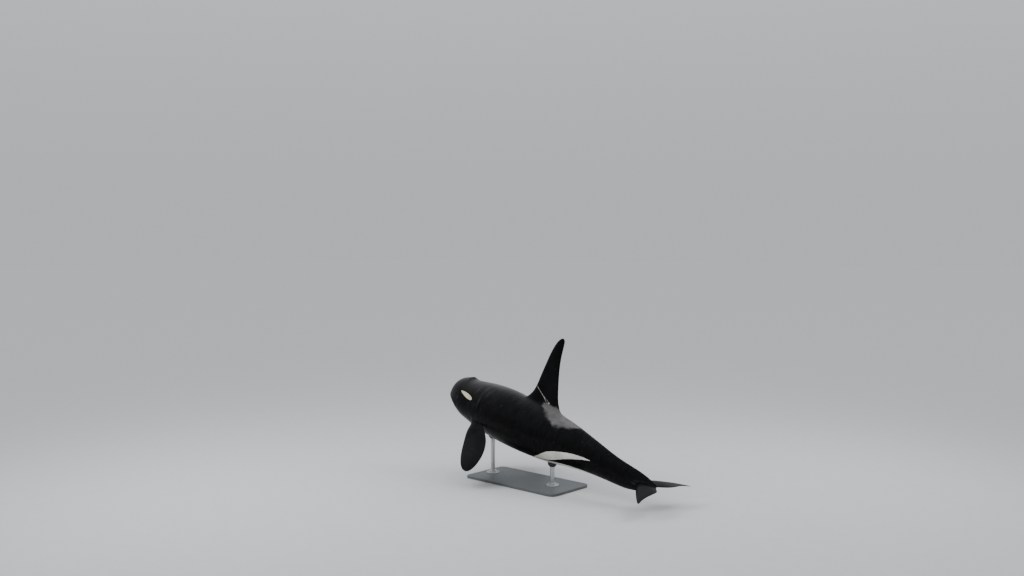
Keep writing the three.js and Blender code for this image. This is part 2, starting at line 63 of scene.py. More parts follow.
# Girth: station, back, belly, half width, widest height, fullness above and below
GIRTH = [
    (0, -1.0, -1.0, 0, -1.0, 2, 2),
    (1, 2.1, -2.75, 2.4, -1.05, 2, 2.1),
    (2.8, 4.8, -4.1, 4.0, -1.1, 2, 2.15),
    (5.5, 6.75, -5.4, 5.6, -1.15, 2, 2.2),
    (7.8, 7.5, -6.35, 6.6, -1.2, 2, 2.2),
    (9.3, 7.6, -6.9, 7.05, -1.2, 2, 2.15),
    (11, 7.5, -7.4, 7.5, -1.2, 2, 2.15),
    (15, 8.15, -8.2, 8.15, -1.1, 2, 2.1),
    (21, 9.2, -9.2, 8.95, -0.9, 1.95, 2.1),
    (29, 9.85, -9.9, 9.4, -0.7, 1.85, 2.1),
    (37.5, 9.75, -10.1, 9.3, -0.5, 1.75, 2.05),
    (45, 9.5, -9.9, 8.6, -0.3, 1.72, 2),
    (52, 8.9, -9.3, 7.6, -0.2, 1.74, 2),
    (58, 8.1, -8.4, 6.5, -0.1, 1.76, 1.95),
    (65, 7.0, -7.0, 5.05, 0, 1.75, 1.85),
    (72, 5.9, -5.75, 3.75, 0, 1.7, 1.72),
    (79, 4.95, -4.75, 2.7, 0, 1.62, 1.62),
    (86, 4.3, -4.05, 1.95, 0, 1.55, 1.55),
    (90.5, 3.75, -3.5, 1.65, 0, 1.55, 1.55),
    (93.5, 2.75, -2.55, 1.5, 0, 1.6, 1.6),
    (96, 1.55, -1.45, 1.15, 0, 1.7, 1.7),
    (98.2, 0.4, -0.4, 0.6, 0, 1.8, 1.8),
]

# Mouth: station and height of the line where the lips meet
MOUTH_LINE = [(0, -1.0), (1.2, -1.05), (3, -1.2), (5.5, -1.55), (7.5, -2.05), (9, -2.65)]
MOUTH_CORNER = 9
# Rows of points beside that line: how far off along the skin, and how far they stand out, in metres
LIP_ROWS = [
    (0.070, 0.0),
    (0.032, 0.006),
    (0.014, 0.005),
    (0.005, -0.004),
    (0.0, -0.018),
    (-0.005, -0.004),
    (-0.014, 0.004),
    (-0.032, 0.005),
    (-0.070, 0.0),
]
LIPS = {"room": 0.26, "deep_from": 0.16, "fade_from": 8.1, "fade_to": 9.5, "gone_at": 15.5}

EYE = {"at": 9.4, "height": 1.0, "ball": 0.026, "proud": 0.007}
CORNEA = {"out": 0.0022, "reach": 0.02}
BLOWHOLE = {"at": 9.2, "wide": 0.13, "slit": 0.012, "bow": 0.034}
BLOWHOLE_SWELLING = {"long": 0.105, "wide": 0.15, "tall": 0.022}
# Rings round the eye, from the skin to the bottom of the socket: half length, half height, height over skin
EYELID_RINGS = [
    (0.078, 0.066, 0.000),
    (0.062, 0.046, -0.002),
    (0.049, 0.033, 0.006),
    (0.039, 0.022, 0.009),
    (0.030, 0.0155, 0.0065),
    (0.027, 0.0135, 0.001),
    (0.028, 0.015, -0.012),
    (0.018, 0.009, -0.022),
]
# Rings round the blowhole: how far outside its slit, and height over the skin
BLOWHOLE_RINGS = [
    (0.046, 0.0),
    (0.026, 0.005),
    (0.012, 0.008),
    (0.003, 0.003),
    (0.0005, -0.012),
    (0.0, -0.032),
]
BELLY_SLIT_RINGS = [(0.03, 0.0), (0.014, 0.003), (0.005, 0.002), (0.001, -0.008), (0.0, -0.018)]
BELLY_SLIT_HALF_WIDTH = 0.003
# The slits of the belly: rows behind the fin, rows either way, length
BELLY_SLITS = [(3, 2, 0.3), (7, 1, 0.1)]

# Dorsal fin: height, front edge, rear edge, thickness
DORSAL_FIN = [
    (8.0, 35.9, 54.6, 3.3),
    (10.2, 37.5, 52.9, 2.6),
    (12, 39.1, 51.95, 2.1),
    (14.5, 40.4, 51.2, 1.8),
    (17.4, 41.25, 50.65, 1.62),
    (20.3, 42.0, 50.15, 1.45),
    (23.2, 42.8, 49.75, 1.27),
    (26, 43.6, 49.5, 1.1),
    (28, 44.2, 49.45, 0.98),
    (29.9, 44.85, 49.5, 0.86),
    (32.1, 45.75, 49.65, 0.7),
    (33.9, 46.8, 49.75, 0.55),
    (34.9, 47.7, 49.6, 0.42),
    (35.4, 48.8, 48.8, 0.1),
]
# Flipper: share of its length, leading edge, trailing edge, thickness
FLIPPER = [
    (-0.16, -2.7, 2.6, 2.9),
    (0.0, -3.0, 3.0, 2.4),
    (0.12, -3.3, 3.7, 1.85),
    (0.25, -3.75, 4.9, 1.6),
    (0.4, -4.2, 5.95, 1.3),
    (0.55, -4.5, 6.35, 1.05),
    (0.7, -4.4, 5.95, 0.82),
    (0.82, -3.85, 4.95, 0.65),
    (0.92, -2.8, 3.4, 0.48),
    (0.98, -1.45, 1.75, 0.32),
    (1.0, 0.1, 0.1, 0.1),
]
FLIPPER_ROOT = (21.4, -5.0)
FLIPPER_SWEEP = 36
FLIPPER_DIP = 40
FLIPPER_TWIST = 14
# Fluke: share of half the span, leading edge, trailing edge, thickness, droop
FLUKE = [
    (0, 90.2, 99.0, 2.1, 0),
    (0.06, 90.55, 99.75, 2.05, 0),
    (0.16, 91.3, 100.5, 1.8, 0.02),
    (0.3, 92.6, 100.95, 1.4, 0.1),
    (0.46, 94.3, 101.0, 1.05, 0.27),
    (0.63, 96.25, 100.9, 0.78, 0.55),
    (0.8, 98.3, 101.0, 0.52, 0.95),
    (0.92, 99.85, 101.3, 0.34, 1.3),
    (0.98, 100.75, 101.5, 0.2, 1.5),
    (1, 101.35, 101.35, 0.1, 1.56),
]

# Points of the skin's cage: columns run round the body from the middle of the back down the left side
HALF = 24
AROUND = 2 * HALF
UPPER_COLUMNS = 9
FIN_FACES = 10
FLIPPER_FACES = 6
FLUKE_FACES = 7
EYE_COLUMN = 7
FLIPPER_COLUMN = 16
FLUKE_COLUMN = 12
# Rings of points along the body, and the stations between which eyes, fin, flippers and flukes grow
RINGS = {"snout": 21, "brow": 4, "neck": 9, "chest": 8, "loins": 19}
BROW = (8.36, 10.04)
FIN_FOOT = (36.7, 53.7)
FLIPPER_FOOT = (18.5, 24.3)
FLUKE_FOOT = (90.3, 98.3)
# Half the thickness of a fin at its edges, in metres
EDGE_HALF = 0.0018
# Levels of a limb's sections: first, last, how many steps, and how much they close up towards the tip
FIN_LEVELS = (10.25, 35.33, 16, 1.5)
FLIPPER_LEVELS = (0.1, 0.9995, 13, 2)
FLUKE_LEVELS = (0.13, 0.9995, 12, 1.9)
# Where a limb's root is smoothed: distance from the middle, height, rounds of smoothing
FIN_ROOT = {"sides": (0.02, 3.4), "heights": (7, 13.2), "rounds": 4}
FLUKE_ROOT = {"sides": (-1, 2.4), "heights": (-9, 9), "rounds": 5}


def percent(share):
    return share / 100 * BODY_LENGTH


def in_percent(metres):
    return metres / BODY_LENGTH * 100


def smoothstep(value, start, end):
    share = np.clip((value - start) / (end - start), 0, 1)
    return share * share * (3 - 2 * share)


def through(rows, place_of=lambda at: at):
    """Smooth curves through a table, as a function of the place that starts each row."""
    places = np.array([place_of(row[0]) for row in rows], float)
    values = np.array([row[1:] for row in rows], float)
    slopes = np.diff(values, axis=0) / np.diff(places)[:, None]
    leans = np.vstack([slopes[:1], (slopes[1:] + slopes[:-1]) / 2, slopes[-1:]])

    def curve(at):
        place = min(max(place_of(at), places[0]), places[-1])
        i = min(int(np.searchsorted(places, place, side="right")) - 1, len(places) - 2)
        width = places[i + 1] - places[i]
        p = (place - places[i]) / width
        ends = values[i] * (2 * p**3 - 3 * p**2 + 1) + values[i + 1] * (3 * p**2 - 2 * p**3)
        return ends + width * (leans[i] * (p**3 - 2 * p**2 + p) + leans[i + 1] * (p**3 - p**2))

    return curve


def root_spaced(at):
    return math.sqrt(max(at, 0))


def tip_spaced(rows):
    first, last = rows[0][0], rows[-1][0]
    return lambda at: -math.sqrt(max(last - at, 0) / (last - first))


girth_at = through(GIRTH, root_spaced)
mouth_at = through(MOUTH_LINE)
fin_at = through(DORSAL_FIN, tip_spaced(DORSAL_FIN))
flipper_at = through(FLIPPER, tip_spaced(FLIPPER))
fluke_at = through(FLUKE, tip_spaced(FLUKE))


def spine_angle(at):
    droop = TAIL_DROOP * smoothstep(at, 50, 78)
    lift = FLUKE_LIFT * smoothstep(at, 78, 96)
    return np.radians(BODY_PITCH + droop - lift)


def lay_spine():
    """Stations along the spine with their places, added up in small steps from the balance station."""
    steps = np.arange(*SPINE_ENDS, SPINE_STEP) + BALANCE_STATION % SPINE_STEP
    middles = (steps[1:] + steps[:-1]) / 2
    angle = spine_angle(middles)
    x = np.concatenate([[0], np.cumsum(percent(np.diff(steps)) * np.cos(angle))])
    z = np.concatenate([[0], np.cumsum(-percent(np.diff(steps)) * np.sin(angle))])
    x -= np.interp(BALANCE_STATION, steps, x)
    z -= np.interp(BALANCE_STATION, steps, z) - AXIS_HEIGHT
    return steps, x, z


SPINE = lay_spine()


def spine_place(at):
    return np.interp(at, SPINE[0], SPINE[1]), np.interp(at, SPINE[0], SPINE[2])


def posed(along, side, up):
    """A point of the straight body, in metres, as it lies in the stance."""
    at = in_percent(along)
    angle = spine_angle(at)
    x, z = spine_place(at)
    return Vector((x + up * math.sin(angle), side, z + up * math.cos(angle)))


def off_spine(points, at):
    """How far points lie behind and above the spine's places at some stations."""
    angle = spine_angle(at)
    x, z = spine_place(at)
    back, high = points[:, 0] - x, points[:, 2] - z
    behind = back * np.cos(angle) - high * np.sin(angle)
    above = back * np.sin(angle) + high * np.cos(angle)
    return behind, above


def straightened(points):
    """Where points of the stance are on the straight body, in percent of its length."""
    at = BALANCE_STATION + in_percent(points[:, 0])
    for _ in range(12):
        at = at + in_percent(off_spine(points, at)[0])
    up = off_spine(points, at)[1]
    return np.stack([at, in_percent(points[:, 1]), in_percent(up)], axis=1)


def girth_point(at, angle, out):
    """Half width and height of the skin at a station, from the angle above its widest line."""
    top, bottom, wide, waist, crown, keel = girth_at(at)
    rise = math.sin(angle)
    full = crown if rise >= 0 else keel
    reach = percent(top - waist if rise >= 0 else waist - bottom) + out
    side = (percent(wide) + out) * max(math.cos(angle), 0) ** (2 / full)
    return side, percent(waist) + math.copysign(reach * abs(rise) ** (2 / full), rise)


def swelling(at, angle):
    """How far the skin swells out round the blowhole."""
    along = percent(at - BLOWHOLE["at"]) / BLOWHOLE_SWELLING["long"]
    across = girth_point(at, angle, 0)[0] / BLOWHOLE_SWELLING["wide"]
    return BLOWHOLE_SWELLING["tall"] * math.exp(-(along**2) - across**2) if angle > 0 else 0


def angle_at_height(at, height):
    top, bottom, _, waist, crown, keel = girth_at(at)
    above = height >= waist
    reach = top - waist if above else waist - bottom
    share = min(abs(height - waist) / max(reach, 1e-6), 1)
    return math.copysign(math.asin(share ** ((crown if above else keel) / 2)), 1 if above else -1)


def column_angles(at):
    """Angle and standing out of the points down one side, which close in on the lips in the head."""
    even = [math.pi / 2 - math.pi * column / HALF for column in range(HALF + 1)]
    gather = 1 - smoothstep(at, MOUTH_CORNER, LIPS["gone_at"])
    if gather <= 0:
        return [(angle, 0) for angle in even]
    mouth = angle_at_height(at, mouth_at(min(at, MOUTH_CORNER))[0])
    radius = max(percent(girth_at(at)[2]), 0.001)
    room = min(1, radius / LIPS["room"])
    depth = min(1, radius / LIPS["deep_from"])
    depth *= 1 - smoothstep(at, LIPS["fade_from"], LIPS["fade_to"])
    last = UPPER_COLUMNS + len(LIP_ROWS) - 1
    lips = [mouth + off * room / radius for off, _ in LIP_ROWS]
    spots = []
    for column, angle in enumerate(even):
        out = 0
        if column < UPPER_COLUMNS:
            near = math.pi / 2 + (lips[0] - math.pi / 2) * column / UPPER_COLUMNS
        elif column > last:
            near = lips[-1] + (-math.pi / 2 - lips[-1]) * (column - last) / (HALF - last)
        else:
            near = lips[column - UPPER_COLUMNS]
            out = LIP_ROWS[column - UPPER_COLUMNS][1] * depth
        spots.append((near * gather + angle * (1 - gather), out))
    return spots


def ring(at):
    """The points round the body at a station, from the middle of the back down the left side and round."""
    half = []
    for column, (angle, out) in enumerate(column_angles(at)):
        side, up = girth_point(at, angle, out + swelling(at, angle))
        half.append((0 if column in (0, HALF) else side, up))
    left = [posed(percent(at), -side, up) for side, up in half]
    return left + [posed(percent(at), side, up) for side, up in half[-2:0:-1]]


def chord_shares(faces):
    """Places along a fin's chord of the points on its two faces, closest at its edges."""
    first, spread = 0.09, 0.85
    return [(1 - math.cos(math.pi * (first + spread * i / faces))) / 2 for i in range(faces + 1)]


def along_chord(chord, share):
    return chord[0] + (chord[1] - chord[0]) * share


def foil(share):
    """Half the thickness of a fin along its chord, as a share of the most."""
    root, first, second, third, fourth = 2.969, -1.26, -3.516, 2.843, -0.98
    swell = root * math.sqrt(share) + first * share + second * share**2
    return swell + third * share**3 + fourth * share**4


def between(start, end, steps, place_of=lambda share: share):
    return [start + (end - start) * place_of(i / steps) for i in range(steps + 1)]


def tip_levels(start, end, steps, power):
    return between(start, end, steps, lambda share: 1 - (1 - share) ** power)


def ring_stations():
    """Stations of the cage's rings, and where the fins' first rings are among them."""
    snout = between(0, BROW[0], RINGS["snout"], lambda share: share**2 * (1 - 0.35 * (1 - share) ** 2))[1:]
    brow = between(*BROW, RINGS["brow"])[1:]
    neck = between(BROW[1], FLIPPER_FOOT[0], RINGS["neck"], lambda share: share**1.3)[1:-1]
    shoulder = [along_chord(FLIPPER_FOOT, share) for share in chord_shares(FLIPPER_FACES)]
    chest = between(FLIPPER_FOOT[1], FIN_FOOT[0], RINGS["chest"])[1:-1]
    back = [along_chord(FIN_FOOT, share) for share in chord_shares(FIN_FACES)]
    loins = between(FIN_FOOT[1], FLUKE_FOOT[0], RINGS["loins"])[1:-1]
    tail = [along_chord(FLUKE_FOOT, share) for share in chord_shares(FLUKE_FACES)]
    ahead = snout + brow + neck
    firsts = {"brow": len(snout) - 1, "flipper": len(ahead)}
    ahead += shoulder + chest
    firsts["fin"] = len(ahead)
    ahead += back
    firsts["loins"] = len(ahead)
    ahead += loins
    firsts["fluke"] = len(ahead)
    return ahead + tail, firsts


STATIONS, FIRSTS = ring_stations()
BROW_ROW = FIRSTS["brow"] + 2


class Field:
    """A value or a colour of a finish that takes part in ordinary arithmetic."""

    def __init__(self, finish, socket):
        self.finish, self.socket = finish, socket

    def sum_of(self, operation, *values):
        return self.finish.node("ShaderNodeMath", {"operation": operation}, dict(enumerate(values)))

    def __add__(self, other):
        return self.sum_of("ADD", self, other)

    def __sub__(self, other):
        return self.sum_of("SUBTRACT", self, other)

    def __rsub__(self, other):
        return self.sum_of("SUBTRACT", other, self)

    def __mul__(self, other):
        return self.sum_of("MULTIPLY", self, other)

    def __truediv__(self, other):
        return self.sum_of("DIVIDE", self, other)

    def __rtruediv__(self, other):
        return self.sum_of("DIVIDE", other, self)

    def __pow__(self, other):
        return self.sum_of("POWER", self, other)

    def __abs__(self):
        return self.sum_of("ABSOLUTE", self)

    __radd__ = __add__
    __rmul__ = __mul__

    def fraction(self):
        return self.sum_of("FRACT", self)

    def at_least(self, other):
        return self.sum_of("MAXIMUM", self, other)

    def at_most(self, other):
        return self.sum_of("MINIMUM", self, other)

    def rise(self, start, end):
        """0 before start, 1 after end, and smooth between. End may come before start."""
        kept = {"interpolation_type": "SMOOTHSTEP"}
        low, high = (start, end) if start < end else (end, start)
        made = self.finish.node("ShaderNodeMapRange", kept, {0: self, 1: low, 2: high, 3: 0.0, 4: 1.0})
        return made if start < end else 1 - made


class Finish:
    """A procedural material."""

    def __init__(self, name, **constants):
        self.material = bpy.data.materials.new(name)
        self.material.use_nodes = True
        self.tree = self.material.node_tree
        self.shader = self.tree.nodes["Principled BSDF"]
        for words, value in constants.items():
            self.shader.inputs[words.replace("_", " ")].default_value = value

    def node(self, kind, settings=None, values=None, output=0):
        made = self.tree.nodes.new(kind)
        for name, value in (settings or {}).items():
            if name == "stops":
                self.set_stops(made.color_ramp, value)
            elif name == "ramp":
                made.color_ramp.interpolation = value
            else:
                setattr(made, name, value)
        for name, value in (values or {}).items():
            self.join(made.inputs[name], value)
        return Field(self, made.outputs[output])

    def set_stops(self, ramp, stops):
        while len(ramp.elements) < len(stops):
            ramp.elements.new(0.5)
        for element, (place, level) in zip(ramp.elements, stops):
            element.position = place
            element.color = (level, level, level, 1)

    def join(self, socket, value):
        if isinstance(value, Field):
            self.tree.links.new(value.socket, socket)
        elif isinstance(value, tuple) and socket.type == "RGBA":
            socket.default_value = (*value, 1)
        else:
            socket.default_value = value

    def feed(self, **fields):
        for words, value in fields.items():
            self.join(self.shader.inputs[words.replace("_", " ")], value)
        return self.material

    def place(self, scale=(1, 1, 1)):
        """Object coordinates in metres, stretched."""
        spot = self.node("ShaderNodeTexCoord", output=3)
        return self.node("ShaderNodeMapping", values={"Vector": spot, "Scale": scale})

    def parts_of(self, vector):
        made = self.node("ShaderNodeSeparateXYZ", values={0: vector})
        return [Field(self, socket) for socket in made.socket.node.outputs]

    def attribute(self, name):
        """The three numbers that a mesh keeps at each point under a name."""
        return self.parts_of(self.node("ShaderNodeAttribute", {"attribute_name": name}, output=1))

    def vector(self, x, y, z=0.0):
        return self.node("ShaderNodeCombineXYZ", values={0: x, 1: y, 2: z})

    def noise(self, spot, scale, detail=2.0, roughness=0.5):
        values = {"Vector": spot, "Scale": scale, "Detail": detail, "Roughness": roughness}
        return self.node("ShaderNodeTexNoise", values=values)

    def mix(self, share, first, second):
        return self.node("ShaderNodeMix", {"data_type": "RGBA"}, {0: share, 6: first, 7: second}, output=2)

    def curve(self, value, points, low, high):
        """A smooth curve through points whose places run from 0 to 1 and whose values from low to high."""
        stops = [(place, (height - low) / (high - low)) for place, height in points]
        ramp = self.node("ShaderNodeValToRGB", {"stops": stops, "ramp": "CARDINAL"}, {0: value})
        return ramp * (high - low) + low

    def bump(self, height, distance, strength=1.0):
        values = {"Strength": strength, "Distance": distance, "Height": height}
        return self.node("ShaderNodeBump", values=values)


class Surroundings(Finish):
    """The light that comes from all round."""

    def __init__(self):
        self.material = bpy.data.worlds.new("soft light all round")
        self.material.use_nodes = True
        self.tree = self.material.node_tree
        self.shader = self.tree.nodes["Background"]


def deselect_all():
    bpy.ops.object.select_all(action="DESELECT")


def cage_of(skin):
    """The skin's mesh in edit mode, and the layers that keep each point's row and column."""
    mesh = bmesh.from_edit_mesh(skin.data)
    return mesh, mesh.verts.layers.int["row"], mesh.verts.layers.int["column"]


def unselected_cage(skin):
    bpy.ops.mesh.select_all(action="DESELECT")
    return cage_of(skin)


def keep_selection(skin, mesh):
    mesh.select_flush_mode()
    bmesh.update_edit_mesh(skin.data)


def lay_selected(skin, place):
    """Moves each selected point of the mesh in edit mode to the place of its row and column."""
    mesh, row, column = cage_of(skin)
    for vert in mesh.verts:
        if vert.select:
            vert.co = place(vert[row], vert[column])
    bmesh.update_edit_mesh(skin.data)


def body_tube():
    """The body from snout to tail, drawn out of one circle ring by ring."""
    deselect_all()
    bpy.ops.mesh.primitive_circle_add(vertices=AROUND, radius=0.02, fill_type="NOTHING")
    skin = bpy.context.object
    skin.name = "skin"
    bpy.ops.object.mode_set(mode="EDIT")
    mesh = bmesh.from_edit_mesh(skin.data)
    row, column = (mesh.verts.layers.int.new(name) for name in ("row", "column"))
    mesh.verts.layers.float_vector.new("limb")
    for i, vert in enumerate(mesh.verts):
        vert[row] = 0
        vert[column] = i
    for number, at in enumerate(STATIONS):
        if number:
            bpy.ops.mesh.extrude_edges_move()
            mesh, row, _ = cage_of(skin)
            for vert in mesh.verts:
                if vert.select:
                    vert[row] = number
        points = ring(at)
        lay_selected(skin, lambda _, i, points=points: points[i])
    close_ends(skin)
    return skin


def close_ends(skin):
    """Caps the first and last ring."""
    for end in (0, len(STATIONS) - 1):
        mesh, row, _ = unselected_cage(skin)
        for edge in mesh.edges:
            if all(vert[row] == end for vert in edge.verts):
                edge.select = True
        keep_selection(skin, mesh)
        bpy.ops.mesh.edge_face_add()


def select_block(skin, rows, columns):
    """Selects the faces of the cage between two rows and in some columns."""
    mesh, row, column = unselected_cage(skin)
    for face in mesh.faces:
        inside = all(rows[0] <= vert[row] <= rows[1] and vert[column] in columns for vert in face.verts)
        if inside and len(face.verts) == 4:
            face.select = True
    keep_selection(skin, mesh)


def smooth_root(skin, rows, sides, heights, rounds):
    """Smooths the cage's points between two rows, two distances from the middle and two heights."""
    mesh, row, _ = unselected_cage(skin)
    places = straightened(np.array([vert.co for vert in mesh.verts]))
    for vert, place in zip(mesh.verts, places):
        in_rows = rows[0] <= vert[row] <= rows[1]
        if in_rows and sides[0] < abs(place[1]) < sides[1] and heights[0] < place[2] < heights[1]:
            vert.select = True
    keep_selection(skin, mesh)
    bpy.ops.mesh.vertices_smooth(factor=0.5, repeat=rounds)


def grow(skin, levels, place, limb=None):
    """Extrudes the selected faces level by level, and lays each level's points."""
    for level in levels:
        bpy.ops.mesh.extrude_region_move()
        lay_selected(skin, lambda row, column, level=level: place(level, row, column))
        if limb is not None:
            mesh = bmesh.from_edit_mesh(skin.data)
            layer = mesh.verts.layers.float_vector["limb"]
            for vert in mesh.verts:
                if vert.select:
                    vert[layer] = limb


def steps_across(column, middle):
    return (column - middle + HALF) % AROUND - HALF


def section_spot(faces, first, middle, row, column):
    """Share of the chord and side of a fin's section for a point of the block that it grows from."""
    step = row - first
    across = steps_across(column, middle)
    if across == 0:
        return (0.0 if step == 0 else 1.0 if step == faces else chord_shares(faces)[step]), 0
    return chord_shares(faces)[step], across


def half_thickness(chord, share):
    return max(percent(chord[2]) / 2 * foil(share), EDGE_HALF)


def columns_round(middle, reach=1):
    return {(middle + i) % AROUND for i in range(-reach, reach + 1)}


def column_on(side, column):
    """A column of the left side, or its twin on the right."""
    return column if side < 0 else AROUND - column


def raised(side, across):
    """1 on a limb's upper face, -1 on its lower one and 0 at its edges. Columns run up the right side."""
    return side * np.sign(across)


def grow_limb(skin, block, footprint, levels, on_section, limb):
    """Lays a block of faces, from its first row, as a limb's footprint and grows the limb out of it."""
    first, faces, middle = block
    select_block(skin, (first, first + faces), columns_round(middle))
    lay_selected(skin, footprint)
    grow(skin, levels, on_section, limb)


def grow_dorsal_fin(skin):
    first = FIRSTS["fin"]
    foot_level, foot_room = 9.3, 0.008

    def on_section(level, row, column):
        share, across = section_spot(FIN_FACES, first, 0, row, column)
        chord = fin_at(level)
        half = half_thickness(chord, share)
        return posed(percent(along_chord(chord, share)), -np.sign(across) * half, percent(level))

    def footprint(row, column):
        share, across = section_spot(FIN_FACES, first, 0, row, column)
        back = along_chord(FIN_FOOT, share)
        half = (half_thickness(fin_at(foot_level), share) + foot_room) * abs(across)
        _, _, wide, _, crown, _ = girth_at(back)
        angle = math.acos(min(1, half / percent(wide)) ** (crown / 2))
        _, up = girth_point(back, angle, 0)
        return posed(percent(back), -np.sign(across) * half, up)

    grow_limb(skin, (first, FIN_FACES, 0), footprint, tip_levels(*FIN_LEVELS), on_section, (1, 0, 0))
    smooth_root(skin, (first - 1, first + FIN_FACES + 1), **FIN_ROOT)


def flipper_axes(side):
    """Directions of a flipper's length, chord and thickness."""
    sweep, dip = math.radians(FLIPPER_SWEEP), math.radians(FLIPPER_DIP)
    outwards = math.cos(sweep)
    length = Vector((math.sin(sweep), side * outwards * math.cos(dip), -outwards * math.sin(dip)))
    chord = (Vector((1, 0, 0)) - length * length.x).normalized()
    chord.rotate(Matrix.Rotation(side * math.radians(-FLIPPER_TWIST), 3, length))
    return length, chord, length.cross(chord)


def grow_flipper(skin, side):
    first = FIRSTS["flipper"]
    middle = column_on(side, FLIPPER_COLUMN)
    at, height = FLIPPER_ROOT
    wide, up = girth_point(at, angle_at_height(at, height), 0)
    origin = Vector((percent(at), side * wide, up))
    length, chord_axis, thickness = flipper_axes(side)
    foot_room = 0.01

    def straight_spot(level, row, column, room=0.0):
        share, across = section_spot(FLIPPER_FACES, first, middle, row, column)
        chord = flipper_at(level)
        thick = half_thickness(chord, share) + room
        facing = 1 if thickness.z > 0 else -1
        spot = origin + length * level * FLIPPER_LENGTH + chord_axis * percent(along_chord(chord, share))
        return spot + thickness * (raised(side, across) * facing * thick)

    def on_section(level, row, column):
        return posed(*straight_spot(level, row, column))

    def footprint(row, column):
        spot = straight_spot(0, row, column, foot_room)
        station = in_percent(spot.x)
        angle = angle_at_height(station, in_percent(spot.z))
        wide, up = girth_point(station, angle, 0)
        return posed(spot.x, side * wide, up)

    block = (first, FLIPPER_FACES, middle)
    grow_limb(skin, block, footprint, tip_levels(*FLIPPER_LEVELS), on_section, (0, 1, 0))


def grow_fluke(skin, side):
    first = FIRSTS["fluke"]
    middle = column_on(side, FLUKE_COLUMN)
    foot_level, highest = 0.03, 0.7

    def spot(level, row, column):
        share, across = section_spot(FLUKE_FACES, first, middle, row, column)
        chord = fluke_at(level)
        up = raised(side, across) * half_thickness(chord, share) - percent(chord[3])
        return along_chord(chord, share), up

    def on_section(level, row, column):
        back, up = spot(level, row, column)
        return posed(percent(back), side * level * FLUKE_SPAN / 2, up)

    def footprint(row, column):
        share, _ = section_spot(FLUKE_FACES, first, middle, row, column)
        back = along_chord(FLUKE_FOOT, share)
        _, up = spot(foot_level, row, column)
        top, bottom = percent(girth_at(back)[0]), percent(girth_at(back)[1])
        up = min(max(up, bottom * highest), top * highest)
        wide, height = girth_point(back, angle_at_height(back, in_percent(up)), 0)
        return posed(percent(back), side * wide, height)

    block = (first, FLUKE_FACES, middle)
    grow_limb(skin, block, footprint, tip_levels(*FLUKE_LEVELS), on_section, (0, 0, 1))
    smooth_root(skin, (first - 1, first + FLUKE_FACES), **FLUKE_ROOT)


def skin_frame(at, height, side):
    """Where a feature sits on the skin: X runs back, Y up or across, Z outwards."""

    def point(station, angle):
        wide, up = girth_point(station, angle, swelling(station, angle))
        return posed(percent(station), side * wide, up)

    angle = math.pi / 2 if height is None else angle_at_height(at, height)
    near, turned_by = 0.1, 0.01
    back = (point(at + near, angle) - point(at - near, angle)).normalized()
    across = Vector((0, 1, 0))
    if height is not None:
        across = (point(at, angle + turned_by) - point(at, angle - turned_by)).normalized()
    out = back.cross(across).normalized()
    if height is not None and out.y * side < 0:
        out.negate()
    level = out.cross(back)
    turned = Matrix((back, level, out)).transposed().to_4x4()
    return Matrix.Translation(point(at, angle)) @ turned


def border_angles(rows, columns):
    """Even angles for the points round a block, by their steps from its middle. Straight back is 0."""
    walk = [(rows, c) for c in range(columns)]
    walk += [(r, columns) for r in range(rows, -rows, -1)]
    walk += [(-rows, c) for c in range(columns, -columns, -1)]
    walk += [(r, -columns) for r in range(-rows, rows)]
    walk += [(rows, c) for c in range(-columns, 0)]
    return {step: 2 * math.pi * i / len(walk) for i, step in enumerate(walk)}


def inset_rings(skin, rings, middle, reach, spot):
    """Insets a block of faces ring by ring. Its middle and reach are rows and columns.

    spot places a point by its ring, its steps from the middle and its turn, which only the border has.
    """
    turns = border_angles(*reach)

    def on_ring(level, row, column):
        steps = (row - middle[0], steps_across(column, middle[1]))
        return spot(level, *steps, turns.get(steps))

    select_block(skin, (middle[0] - reach[0], middle[0] + reach[0]), columns_round(middle[1], reach[1]))
    grow(skin, rings, on_ring)


def shape_eyelids(skin, side):
    """Folds, lids and socket of an eye."""
    rows = 3
    on_skin = skin_frame(EYE["at"], EYE["height"], side)

    def spot(level, back, _, turn):
        long, tall, out = level
        if turn is None:
            return on_skin @ Vector((long * back / rows, 0, out))
        pinch = abs(math.sin(turn)) ** 0.25
        return on_skin @ Vector((long * math.cos(turn), -tall * math.sin(turn) * pinch, out))

    inset_rings(skin, EYELID_RINGS, (BROW_ROW, column_on(side, EYE_COLUMN)), (rows, 1), spot)


def shape_blowhole(skin):
    """Crescent slit on top of the head, its horns towards the snout, with raised lips."""
    reach = 2
    on_skin = skin_frame(BLOWHOLE["at"], None, 1)
    roundness = 2 * percent(girth_at(BLOWHOLE["at"])[2])

    def spot(level, back, across, turn):
        grown, out = level
        half, narrow = BLOWHOLE["wide"] / 2 + grown, BLOWHOLE["slit"] / 2
        if turn is None:
            y, slit = -half * across / reach, narrow * back / reach
        else:
            y, slit = -half * math.sin(turn), (narrow + grown) * math.cos(turn)
        bowed = BLOWHOLE["bow"] * (0.5 - (y / half) ** 2)
        return on_skin @ Vector((bowed + slit, y, out - y * y / roundness))

    inset_rings(skin, BLOWHOLE_RINGS, (BROW_ROW, 0), (reach, reach), spot)


